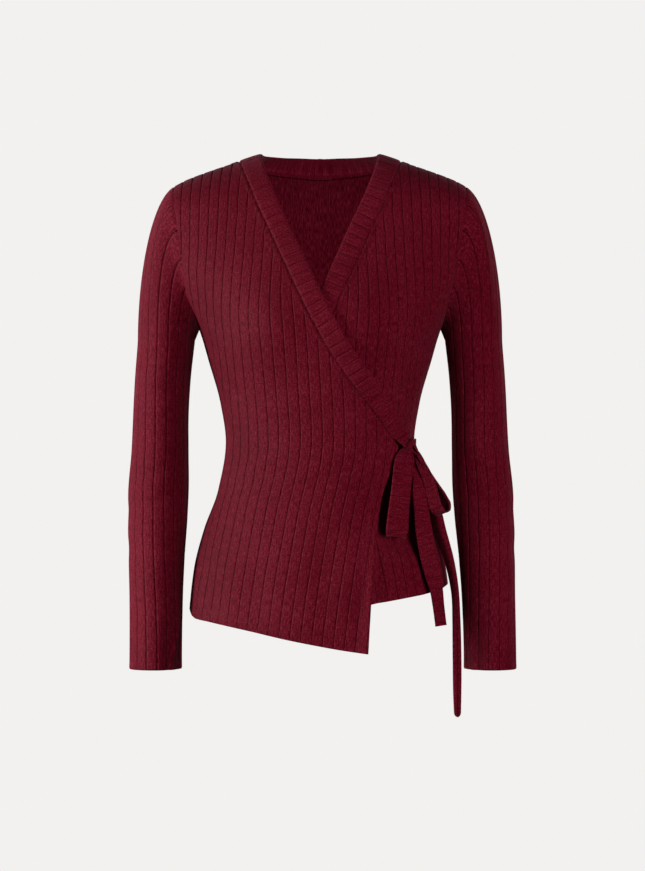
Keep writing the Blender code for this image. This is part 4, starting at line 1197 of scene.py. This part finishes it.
def back_panel(neck, lattice, grain, lines):
    """Return the back, with its c counted the other way so that it faces out."""
    hem_x = np.linspace(-half_width(SIDE_HEM_RIGHT), half_width(SIDE_HEM_LEFT), 72)[1:-1]
    hem_v = np.interp(hem_x, (-161, 157.5), (SIDE_HEM_RIGHT, SIDE_HEM_LEFT))
    x, v = neck.seam_xv(neck.right_count, neck.right_count + neck.back_count)
    neck_part = on_surface(lattice, grain, x, 2 * SHOULDER - v, "neck")
    shoulder_x = np.linspace(armhole_out(SHOULDER), -neck.stations[neck.right_count][0], 12)[1:-1]
    level = np.full(10, SHOULDER)
    pieces = [
        on_surface(lattice, grain, hem_x, hem_v, "hem"),
        side_stretch(lattice, grain, 1, SIDE_HEM_LEFT),
        part(*lines[1], "armhole"),
        on_surface(lattice, grain, shoulder_x, level, "shoulder"),
        turned(neck_part),
        on_surface(lattice, grain, -shoulder_x[::-1], level, "shoulder"),
        turned(part(*lines[-1], "armhole")),
        turned(side_stretch(lattice, grain, -1, SIDE_HEM_RIGHT)),
    ]
    flipped = []
    for stretch in reversed(pieces):
        back_way = turned(stretch)
        back_way["c"] = -back_way["c"]
        flipped.append(back_way)
    return Panel("back", lattice, flipped)


class Flipped:
    """A net read with its c counted the other way."""

    def __init__(self, lattice):
        self.lattice = lattice

    def at(self, c, v):
        return self.lattice.at(-np.asarray(c), v)


def sleeve_panel(name, form):
    """Return a sleeve, drawn as the left one, with its underarm seam."""
    v = np.linspace(CUFF, CAP_BASE, 70)
    seams = {}
    for side in (-1, 1):
        c = np.array([form.seam_rib(level, side) for level in v])
        place = np.array([form.ring(np.array([math.pi]), level)[0] for level in v])
        seams[side] = part(c, v, place, np.tile([-1.0, 0.0, 0.0], (len(v), 1)), "side")
    cap_c = form.rib_of_share(form.share)
    cap_v = CAP_BASE + form.cap_length(cap_c)
    cap = part(cap_c, cap_v, form.places, form.outs, "armhole")
    cuff_c = np.arange(form.seam_rib(CUFF, -1) + 0.25, form.seam_rib(CUFF, 1) - 0.2, 0.25)
    place, out = form.lattice.at(cuff_c, np.full(len(cuff_c), CUFF))
    cuff = part(cuff_c, np.full(len(cuff_c), CUFF), place, out, "cuff")
    return Panel(name, form.lattice, [cuff, seams[1], turned(cap), turned(seams[-1])])


def band_panel(neck):
    """Return the neckband."""
    c = -np.arange(neck.count, -1, -1) / FINE
    seam_place, seam_out = neck.lattice.at(c, np.zeros(len(c)))
    free_place, free_out = neck.lattice.at(c, np.full(len(c), BAND_WIDTH))
    ends = np.linspace(0, BAND_WIDTH, 8)[1:-1]
    first_place, first_out = neck.lattice.at(np.full(6, c[0]), ends)
    last_place, last_out = neck.lattice.at(np.full(6, c[-1]), ends)
    pieces = [
        part(c, np.zeros(len(c)), seam_place, seam_out, "neck"),
        part(np.full(6, c[-1]), ends, last_place, last_out, "end"),
        turned(part(c, np.full(len(c), BAND_WIDTH), free_place, free_out, "band")),
        turned(part(np.full(6, c[0]), ends, first_place, first_out, "end")),
    ]
    return Panel("neckband", neck.lattice, pieces, BAND_WALL)


def band_thickness():
    """Return the height of the folded band: a soft pillow with narrow grooves across it."""
    def high(flat):
        across = flat[:, 1] / BAND_WIDTH
        pillow = 0.75 * np.clip(1 - (2 * across - 1) ** 4, 0, 1)
        fade = smoothstep((across - 0.03) / 0.08) * smoothstep((1 - across) / 0.14)
        dips = 1.5 * hill(flat[:, 1], 1.3) + 0.7 * hill(BAND_WIDTH - flat[:, 1], 0.9)
        return np.maximum(BAND_WALL + pillow - rib_profile(flat[:, 0] / RIB) * fade - dips, THINNEST)
    return high


def band_inside(flat):
    """Return how far the seam allowance stands off the inside of the band."""
    allowance = smoothstep((flat[:, 1] - 0.2) / 0.7) * smoothstep((ALLOWANCE - flat[:, 1]) / 0.8)
    return 1.1 * allowance + 0.35 * hill(flat[:, 1] - ALLOWANCE / 2, 0.8)


def band_lip(flat):
    """Return how far the allowance hangs over the seam, so that nothing shows through it."""
    return 1.7 * hill(flat[:, 1] - 0.8, 1.3)


# ---------------------------------------------------------------- the bow
KNOT_PLACE = np.array([110.2, -61.0, -342.5])
KNOT_SIZE = (4.6, 8.0, 8.2)
KNOT_TURN = 35.0
STRIPS = {
    "tie_side_root": (
        (118.9, 0.0, -342.5, 14, 0.0, 0.0, 1.0),
        (118.7, -12.0, -342.0, 12, 0.0, 0.0, 1.0),
        (117.9, -27.0, -341.2, 10, 0.0, 0.0, 1.0),
        (116.4, -40.0, -340.2, 8.5, 0.0, 0.0, 1.0),
        (112.7, -52.6, -339.6, 8, 0.0, 0.0, 1.0),
    ),
    "loop_front": (
        (107.6, -64.4, -348.2, 11, 1.0, 0.2, 0.0),
        (106.0, -70.0, -353.0, 18.5, 1.0, 0.25, 0.0),
        (104.4, -74.5, -360.0, 24, 1.0, 0.25, 0.0),
        (102.6, -79.0, -370, 25.3, 1.0, 0.25, 0.0),
        (100.6, -84.0, -387, 25, 1.0, 0.3, 0.0),
        (98.1, -89.5, -408, 25.5, 1.0, 0.3, 0.0),
        (95.6, -94.5, -430, 27.5, 1.0, 0.3, -0.1),
        (94.5, -96.0, -444, 28.6, 1.0, 0.3, -0.2),
        (94.1, -95.0, -450.5, 28.0, 1.0, 0.3, -0.22),
        (94.0, -92.5, -455.0, 23.5, 1.0, 0.3, -0.22),
        (93.8, -89.5, -454.6, 22.5, 1.0, 0.3, -0.22),
        (94.0, -86.5, -449, 26, 1.0, 0.3, -0.2),
        (94.8, -84.5, -437, 25, 1.0, 0.3, -0.1),
        (98.2, -79.5, -415, 24, 1.0, 0.3, 0.0),
        (102.0, -71.5, -385, 21, 1.0, 0.3, 0.0),
        (104.6, -64.0, -362, 16, 1.0, 0.25, 0.0),
        (105.5, -58.7, -351.0, 10, 1.0, 0.2, 0.0),
    ),
    "loop_side": (
        (116.4, -62.7, -343.2, 10, 0.0, 1.0, 0.35),
        (121.5, -62.5, -356, 16, -0.35, 0.92, 0.15),
        (129.5, -62.0, -375, 21, -0.5, 0.86, 0.0),
        (139.0, -61.5, -391, 24, -0.55, 0.83, 0.0),
        (149.6, -61.5, -407, 24, -0.55, 0.83, 0.0),
        (154.6, -62.0, -417, 24, -0.5, 0.86, 0.0),
        (154.4, -63.5, -424.5, 22, -0.45, 0.85, -0.1),
        (149.5, -66.5, -427.5, 19, -0.5, 0.75, -0.3),
        (144.0, -69.5, -423.0, 17, -0.7, 0.35, -0.45),
        (139.8, -70.5, -411, 15.5, -0.85, 0.1, -0.5),
        (137.0, -70.0, -398, 14.5, -0.85, 0.1, -0.5),
        (133.2, -69.5, -386, 13.5, -0.85, 0.1, -0.5),
        (127.4, -68.5, -373, 12.5, -0.8, 0.2, -0.5),
        (120.3, -66.5, -360.5, 11.5, -0.5, 0.75, -0.3),
        (112.8, -63.5, -348.6, 9, 0.0, 1.0, 0.35),
    ),
    "tail_short": (
        (107.8, -53.0, -350.2, 8, 1.0, 0.4, 0.1),
        (112.9, -58.6, -364, 9.2, 1.0, 0.4, 0.1),
        (121.6, -66.0, -385, 15, 1.0, 0.3, 0.1),
        (122.3, -69.0, -400, 18, 1.0, 0.3, 0.1),
        (124.4, -70.2, -420, 19.5, 1.0, 0.42, 0.2),
        (127.4, -75.0, -448, 22, 1.0, 0.4, 0.3),
        (130.5, -75.5, -466, 22.8, 1.0, 0.4, 0.3),
        (134.2, -74.0, -485, 22, 1.0, 0.4, 0.3),
        (138.5, -72.5, -503, 20.5, 1.0, 0.4, 0.28),
        (142.8, -72.0, -521, 17.6, 1.0, 0.4, 0.25),
        (145.2, -72.0, -539, 16, 1.0, 0.4, 0.25),
        (148.6, -72.0, -565.5, 15.5, 1.0, 0.4, 0.3),
    ),
    "tail_long": (
        (113.9, -55.0, -347.2, 6, 0.5, 0.8, 0.3),
        (126.2, -46.0, -375, 12, 0.7, 0.6, 0.3),
        (133.8, -44.0, -398, 14.5, 0.9, 0.4, 0.3),
        (140.9, -44.0, -420, 16.5, 1.0, 0.3, 0.3),
        (148.2, -47.5, -448.4, 16, 1.0, 0.3, 0.3),
        (159.6, -50.0, -485.4, 12.2, 1.0, 0.3, 0.3),
        (166.6, -52.0, -522.4, 9.8, 1.0, 0.3, 0.1),
        (168.4, -54.5, -560, 10.6, 1.0, 0.3, 0.0),
        (169.0, -55.5, -609, 11.3, 1.0, 0.3, 0.0),
        (169.2, -56.0, -650, 11, 1.0, 0.3, 0.0),
        (169.6, -56.0, -679, 9, 1.0, 0.3, 0.0),
    ),
}


def smooth_line(rows, spacing):
    """Return even places along a smooth curve through the rows of a strip."""
    rows = np.array(rows, float)
    run = run_along(rows[:, :3])
    slopes = np.gradient(rows, run, axis=0)
    wanted = np.linspace(0, run[-1], max(4, int(run[-1] / spacing)) + 1)
    i = np.clip(np.searchsorted(run, wanted) - 1, 0, len(run) - 2)
    span = (run[i + 1] - run[i])[:, None]
    t = (wanted[:, None] - run[i][:, None]) / span
    return hermite(t, span, rows, slopes, i), wanted


# How much a strip is gathered at each end, its wall, and whether its free end is rounded.
STRIP_LOOKS = {
    "tie_side_root": dict(start=0.0, end=0.9, wall=1.9, round_end=False),
    "loop_front": dict(start=1.0, end=1.0, wall=2.0, round_end=False),
    "loop_side": dict(start=1.0, end=1.0, wall=2.0, round_end=False),
    "tail_short": dict(start=1.0, end=0.0, wall=2.0, round_end=False),
    "tail_long": dict(start=1.0, end=0.0, wall=4.0, round_end=True),
    "tie_front_root": dict(start=0.35, end=1.0, wall=2.1, round_end=False),
}
PLACES_ACROSS = (
    -1.0, -0.97, -0.92, -0.84, -0.74, -0.58, -0.4, -0.26, -0.17, -0.1, -0.04, 0.02, 0.1, 0.2, 0.36, 0.56,
    0.74, 0.84, 0.92, 0.97, 1.0,
)
STRIP_STEP = 1.3          # spacing of a strip's rings
GATHER_REACH = 26
RIB_START = 0.35          # where the first groove of a strip lies, in ribs
# A strip's relief: its grooves, the rolled edges, the pleats near the knot and a slow sway along it.
RELIEF = dict(
    groove=0.55, roll=0.42, roll_place=0.84, roll_width=0.09,
    pleat=1.1, pleats=7.5, sway=0.35, sway_length=17.0,
)
FOLD_PLACE = -0.04        # where the long tail is folded lengthwise
FLAP = dict(turn=76.0, longer=1.0, start=-392.0, full=-418.0, ease=-500.0, end=-610.0)


def turned_flap(a, width, height):
    """Return how the long tail's left half lies: turned back above, flat below. Gives place and depth."""
    turned = smoothstep((FLAP["start"] - height) / (FLAP["start"] - FLAP["full"]))
    turned = turned * smoothstep((height - FLAP["end"]) / (FLAP["ease"] - FLAP["end"]))
    angle = math.radians(FLAP["turn"]) * turned
    beyond = np.minimum(a - FOLD_PLACE, 0.0) * width * (1 + FLAP["longer"] * turned**4)
    place = np.maximum(a, FOLD_PLACE) * width + beyond * math.cos(angle)
    return place, -beyond * math.sin(angle)


def strip_faces(sides, half, rings):
    """Return the faces of a closed strip: its rings, then a cap at each end."""
    faces = []
    for ring in range(rings - 1):
        for k in range(sides):
            first, second = ring * sides + k, ring * sides + (k + 1) % sides
            faces.append([first, second, second + sides, first + sides])
    last = (rings - 1) * sides
    for base, flip in ((0, True), (last, False)):
        ring = [base + k for k in range(sides)]
        for k in range(half - 1):
            low_k, low_next = (sides - k) % sides, (sides - k - 1) % sides
            if k == 0:
                cap = [ring[0], ring[1], ring[sides - 1]]
            elif k == half - 2:
                cap = [ring[k], ring[half - 1], ring[low_k]]
            else:
                cap = [ring[k], ring[k + 1], ring[low_next], ring[low_k]]
            faces.append(cap[::-1] if flip else cap)
    return faces


def strip(name, rows):
    """Make one turned strip of the tie, with grooves across it and gathers where the knot holds it."""
    looks = STRIP_LOOKS[name]
    fine, run = smooth_line(rows, STRIP_STEP)
    tangent = unit(np.gradient(fine[:, :3], axis=0))
    across = unit(fine[:, 4:7] - tangent * (fine[:, 4:7] * tangent).sum(-1, keepdims=True))
    out = np.cross(across, tangent)
    wall = looks["wall"]
    half = len(PLACES_ACROSS)
    a = np.concatenate([PLACES_ACROSS, PLACES_ACROSS[-2:0:-1]])
    upper = np.concatenate([np.ones(half), -np.ones(half - 2)])
    gather = looks["start"] * hill(run, GATHER_REACH) + looks["end"] * hill(run[-1] - run, GATHER_REACH)
    near_end = np.minimum(run, run[-1] - run)
    verts, uvs, spreads = [], [], []
    for k in range(len(fine)):
        width = fine[k, 3] / 2
        height = wall / 2 * np.clip(1 - np.abs(a) ** 6, 0, 1) ** 0.5
        if name == "tail_long":
            fold = 0.85 * hill(a - FOLD_PLACE, 0.12) * (upper < 0)
            height = wall / 2 * np.clip(1 - np.abs(a) ** 2.6, 0, 1) ** 0.5 * (1 - fold)
        if looks["round_end"]:
            rest = max(run[-1] - run[k], 0.0)
            width = width * math.sqrt(max(1 - max(0.0, 1 - rest / 6.0) ** 2, 0.02))
        place, depth = turned_flap(a, width, fine[k, 2]) if name == "tail_long" else (a * width, 0.0)
        spreads.append(np.hypot(np.diff(place[:half]), np.diff(depth + 0.0 * place)[:half - 1]).sum())
        rib = np.full(len(a), run[k] / BAND_RIB + RIB_START)
        groove = rib_profile(rib) * RELIEF["groove"]
        edge_roll = RELIEF["roll"] * hill(np.abs(a) - RELIEF["roll_place"], RELIEF["roll_width"])
        pleat = gather[k] * RELIEF["pleat"] * np.sin(a * RELIEF["pleats"] + 0.6) * (1 - np.abs(a) ** 4)
        sway = RELIEF["sway"] * np.sin(run[k] / RELIEF["sway_length"] + a * 1.4)
        sway = sway * (1 - gather[k]) * (near_end[k] > 2)
        raised = height - groove * np.abs(height) / (wall / 2) + edge_roll * (height > 0.2)
        level = upper * np.maximum(raised, 0.0) + pleat * 0.6 + sway + depth
        verts.append(fine[k, :3] + across[k] * place[:, None] + out[k] * level[:, None])
        uvs.append(np.stack([rib, a * fine[k, 3] / 2 / RIB], axis=-1))
    faces = strip_faces(len(a), half, len(fine))
    piece = make_mesh(name, np.vstack(verts), faces, np.vstack(uvs), material="across", sharp=60)
    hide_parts(name)
    length, width = float(run[-1] * METRE), float(max(spreads) * METRE)


def front_root_rows(neck):
    """Return the rows of the short tie from the end of the right front's band to the knot."""
    seam, out = neck.lattice.at(np.array([0.0]), np.array([0.0]))
    free, _ = neck.lattice.at(np.array([0.0]), np.array([BAND_WIDTH]))
    seam, out, free = seam[0], out[0], free[0]
    across = unit(free - seam)
    start = (seam + free) / 2 + out * BAND_WALL / 2
    end = np.array([106.6, -63.5, -345.5])
    square = unit(np.cross(across, out))
    first = start + square * 0.3
    places = (first, first + square * 1.5, (first + end) / 2 + out * 1.4, end)
    return [(*place, BAND_WIDTH * share, *across) for place, share in zip(places, (0.97, 0.94, 0.66, 0.3))]


def knot():
    """Make the knot: a small strip wrapped round the others, aslant, with soft pleats."""
    columns, rings = 40, 28
    verts, uvs = [], []
    turn = math.radians(KNOT_TURN)
    long_way = np.array([math.sin(turn), 0.0, math.cos(turn)])
    short_way = np.array([math.cos(turn), 0.0, -math.sin(turn)])
    depth_way = np.array([0.0, 1.0, 0.0])
    for i in range(1, rings):
        up = math.pi * i / rings
        for k in range(columns):
            round_ = 2 * math.pi * k / columns
            x, y, z = math.sin(up) * math.cos(round_), math.sin(up) * math.sin(round_), math.cos(up)
            pleat = 0.1 * math.cos(x * 8.0 + 0.8) * (1 - abs(x) ** 3)
            size = np.array(KNOT_SIZE) * (1 + pleat)
            bow = 1.4 * (1 - z * z)
            spot = short_way * (x * size[0] + bow) + depth_way * (y * size[1])
            verts.append(KNOT_PLACE + (spot + long_way * (z * size[2])))
            uvs.append((x * 0.5 + 0.3, math.atan2(y, z) * 6 / RIB))
    faces = []
    for i in range(rings - 2):
        for k in range(columns):
            first, second = i * columns + k, i * columns + (k + 1) % columns
            faces.append([first, second, second + columns, first + columns])
    for base, height in ((0, 1), ((rings - 2) * columns, -1)):
        pole = len(verts)
        verts.append(KNOT_PLACE + long_way * KNOT_SIZE[2] * height)
        uvs.append((0.3, 0.0))
        for k in range(columns):
            faces.append([base + k, base + (k + 1) % columns, pole])
    piece = make_mesh("knot", np.array(verts), faces, np.array(uvs), sharp=60)
    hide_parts("knot")


# ---------------------------------------------------------------- put it together
ROWS = dict(torso=np.arange(-620.0, 60.0, 6.5), sleeve=np.arange(-620.0, 60.0, 5.5))
PLAIN_CUTS = (-0.5, 0.0)  # columns of the plain inner face, for each rib
BAND_ROWS = np.array([0.8, 1.8, 3.2, 5.5, 9, 13, 17, 20.5, 23, 24.4])
BAND_INNER_ROWS = np.array([0.8, 1.5, 2.4, 3.4, 4.5, 5.2, 6.0, 9, 13, 17, 21, 24])


def cover(panel, low, high, rows, held="hung", **shape):
    piece = shell(panel, rib_columns(low, high), rib_columns(low, high, PLAIN_CUTS), rows, **shape)
    (width, length), area = flat_size(panel)
    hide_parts(panel.name)


def dress():
    """Make every piece of the garment."""
    neck = NeckLine()
    front_grain, back_grain = Grain(FRONT_RIBS, True), Grain(BACK_RIBS, False)
    net = (rib_net(0.25), np.arange(-240, NET_TOP, 3.0))
    front_line = armhole_line(Lattice(*net, front_grain.row, 1.0), front_grain, -1)
    plain_back = Lattice(*net, back_grain.row, -1.0)
    back_lines = {side: armhole_line(plain_back, back_grain, side) for side in (-1, 1)}

    for name, hem, side_hem, lapped, mirrored in (
        ("front_right", HEM_RIGHT, SIDE_HEM_RIGHT, True, False),
        ("front_left", HEM_LEFT, SIDE_HEM_LEFT, False, True),
    ):
        panel = front_panel(name, neck, hem, side_hem, lapped, front_line)
        cover(panel, panel.c.min(), panel.c.max(), ROWS["torso"], mirrored=mirrored)
        stitches(f"stitches_{name}", stitch_lines(panel, "hem", "edge", "neck"), mirrored)

    lattice = torso_lattice(back_grain, "back")
    panel = back_panel(neck, lattice, back_grain, back_lines)
    panel.lattice = Flipped(lattice)
    cover(panel, panel.c.min(), panel.c.max(), ROWS["torso"])
    stitches("stitches_back", stitch_lines(panel, "hem", "neck"))
    # a dark cord inside the back neck seam: a seam line whose near-black colour is painted shadow under the
    # band's edge
    seam = offset_line(panel, "neck", 2.6, 0.35, trim=1.0, inner=True)
    stitches("stitches_neck_seam", [seam], thread_name="seam_thread", length=3.4, gap=-0.5, radius=0.6)

    band = band_panel(neck)
    cover(
        band, band.c.min(), band.c.max(), BAND_ROWS, "stretched", thickness=band_thickness(), margin=0.3,
        inner_rows=BAND_INNER_ROWS, inner_raise=band_inside, inner_drop=band_lip,
    )

    for name, mirrored in (("sleeve_left", False), ("sleeve_right", True)):
        form = SleeveForm(SWING[name], front_line, back_lines[1])
        panel = sleeve_panel(name, form)
        cover(panel, -form.widest, form.widest, ROWS["sleeve"], mirrored=mirrored)
        stitches(f"stitches_{name}", stitch_lines(panel, "cuff"), mirrored)

    knot()
    strip("tie_front_root", front_root_rows(neck))
    for name, rows in STRIPS.items():
        strip(name, rows)


# Lights by name, angle from the front towards +X, height, distance, size, power, and whether they show as
# gloss. The wearer's right is the bright side.
LIGHTS = (
    ("key", -73.0, -0.1, 3.4, 1.2, 106.0, True),
    ("fill", 30.0, -0.3, 3.9, 1.4, 82.0, False),
    ("sleeve_fill", -12.0, -0.1, 3.9, 1.4, 62.0, False),
    ("back_near", 140.0, 0.5, 3.4, 1.6, 55.0, False),
    ("back_far", -140.0, 0.5, 3.4, 1.6, 62.0, False),
)
SLEEVE_RULES = {"fill": "EXCLUDE", "sleeve_fill": "INCLUDE"}
LEFT_SLEEVE_NAMES = ("sleeve_right.", "stitches_sleeve_right")
NECK_FRONT = ("front_left.", "neckband.")
PALE = (0.888, 0.879, 0.863, 1.0)
ROOM = 0.04               # how much of the surround's brightness lights the cloth
LIGHT_AIM = (0.0, 0.0, -0.3)
FLOOR_HALF, FLOOR_LEVEL = 6, -1.25
SENSOR = 36.0
CAMERA_AWAY = 4.0
FRAME_HEIGHT = 1.08875    # the photo's 871 pixels at 1.25 mm
CAMERA_X, CAMERA_Z = 0.003125, -0.3319


def area_light(name, place, aim, size, power):
    """Add a soft square light."""
    data = bpy.data.lights.new(name, "AREA")
    data.shape = "SQUARE"
    data.size = size
    data.energy = power
    light = bpy.data.objects.new(name, data)
    light.location = place
    light.rotation_euler = (Vector(aim) - Vector(place)).to_track_quat("-Z", "Y").to_euler()
    bpy.context.scene.collection.objects.link(light)
    return light


def link_light(light, names, rule, role="receiver_collection"):
    """Set what a light does to the pieces whose names start so, as a flag beside it would.

    As receivers, they are kept from the light or alone get it. As blockers, they cast no shade in it.
    """
    group = bpy.data.collections.new(f"{light.name}_{role}")
    for piece in [piece for piece in bpy.data.objects if piece.name.startswith(names)]:
        group.objects.link(piece)
    setattr(light.light_linking, role, group)
    for member in group.collection_objects:
        member.light_linking.link_state = rule


def studio():
    """Add the pale surround, the floor, the soft lights and the camera."""
    scene = bpy.context.scene
    scene.view_settings.view_transform = "Standard"
    world = bpy.data.worlds.new("pale_studio")
    world.use_nodes = True
    back = world.node_tree.nodes["Background"]
    back.inputs["Color"].default_value = PALE
    ray = world.node_tree.nodes.new("ShaderNodeLightPath")
    strength = maths(world.node_tree, "MULTIPLY_ADD", ray.outputs["Is Camera Ray"], 1.0 - ROOM, ROOM)
    join(world.node_tree, (strength, back.inputs["Strength"]))
    scene.world = world

    floor_mesh = bpy.data.meshes.new("floor")
    corners = [(x * FLOOR_HALF, y * FLOOR_HALF, FLOOR_LEVEL) for x, y in ((-1, -1), (1, -1), (1, 1), (-1, 1))]
    floor_mesh.from_pydata(corners, [], [[0, 1, 2, 3]])
    floor = bpy.data.objects.new("floor", floor_mesh)
    scene.collection.objects.link(floor)
    pale = bpy.data.materials.new("pale_floor")
    pale.use_nodes = True
    surface = pale.node_tree.nodes["Principled BSDF"]
    surface.inputs["Base Color"].default_value = (0.0, 0.0, 0.0, 1.0)
    surface.inputs["Specular IOR Level"].default_value = 0.0
    surface.inputs["Emission Color"].default_value = PALE
    surface.inputs["Emission Strength"].default_value = 1.0
    floor.visible_diffuse = False
    floor.visible_glossy = False
    floor_mesh.materials.append(pale)

    for name, azimuth, height, distance, size, power, glossy in LIGHTS:
        turn = math.radians(azimuth)
        place = (distance * math.sin(turn), -distance * math.cos(turn), height)
        light = area_light(name, place, LIGHT_AIM, size, power)
        light.visible_glossy = glossy
        if name in SLEEVE_RULES:
            link_light(light, LEFT_SLEEVE_NAMES, SLEEVE_RULES[name])
        if name == "fill":
            link_light(light, NECK_FRONT, "EXCLUDE", "blocker_collection")

    data = bpy.data.cameras.new("camera")
    data.sensor_fit = "VERTICAL"
    data.sensor_height = SENSOR
    data.lens = SENSOR * CAMERA_AWAY / FRAME_HEIGHT
    data.clip_end = 50
    camera = bpy.data.objects.new("camera", data)
    camera.location = (CAMERA_X, -CAMERA_AWAY, CAMERA_Z)
    camera.rotation_euler = (math.pi / 2, 0.0, 0.0)
    scene.collection.objects.link(camera)
    scene.camera = camera


dress()
studio()
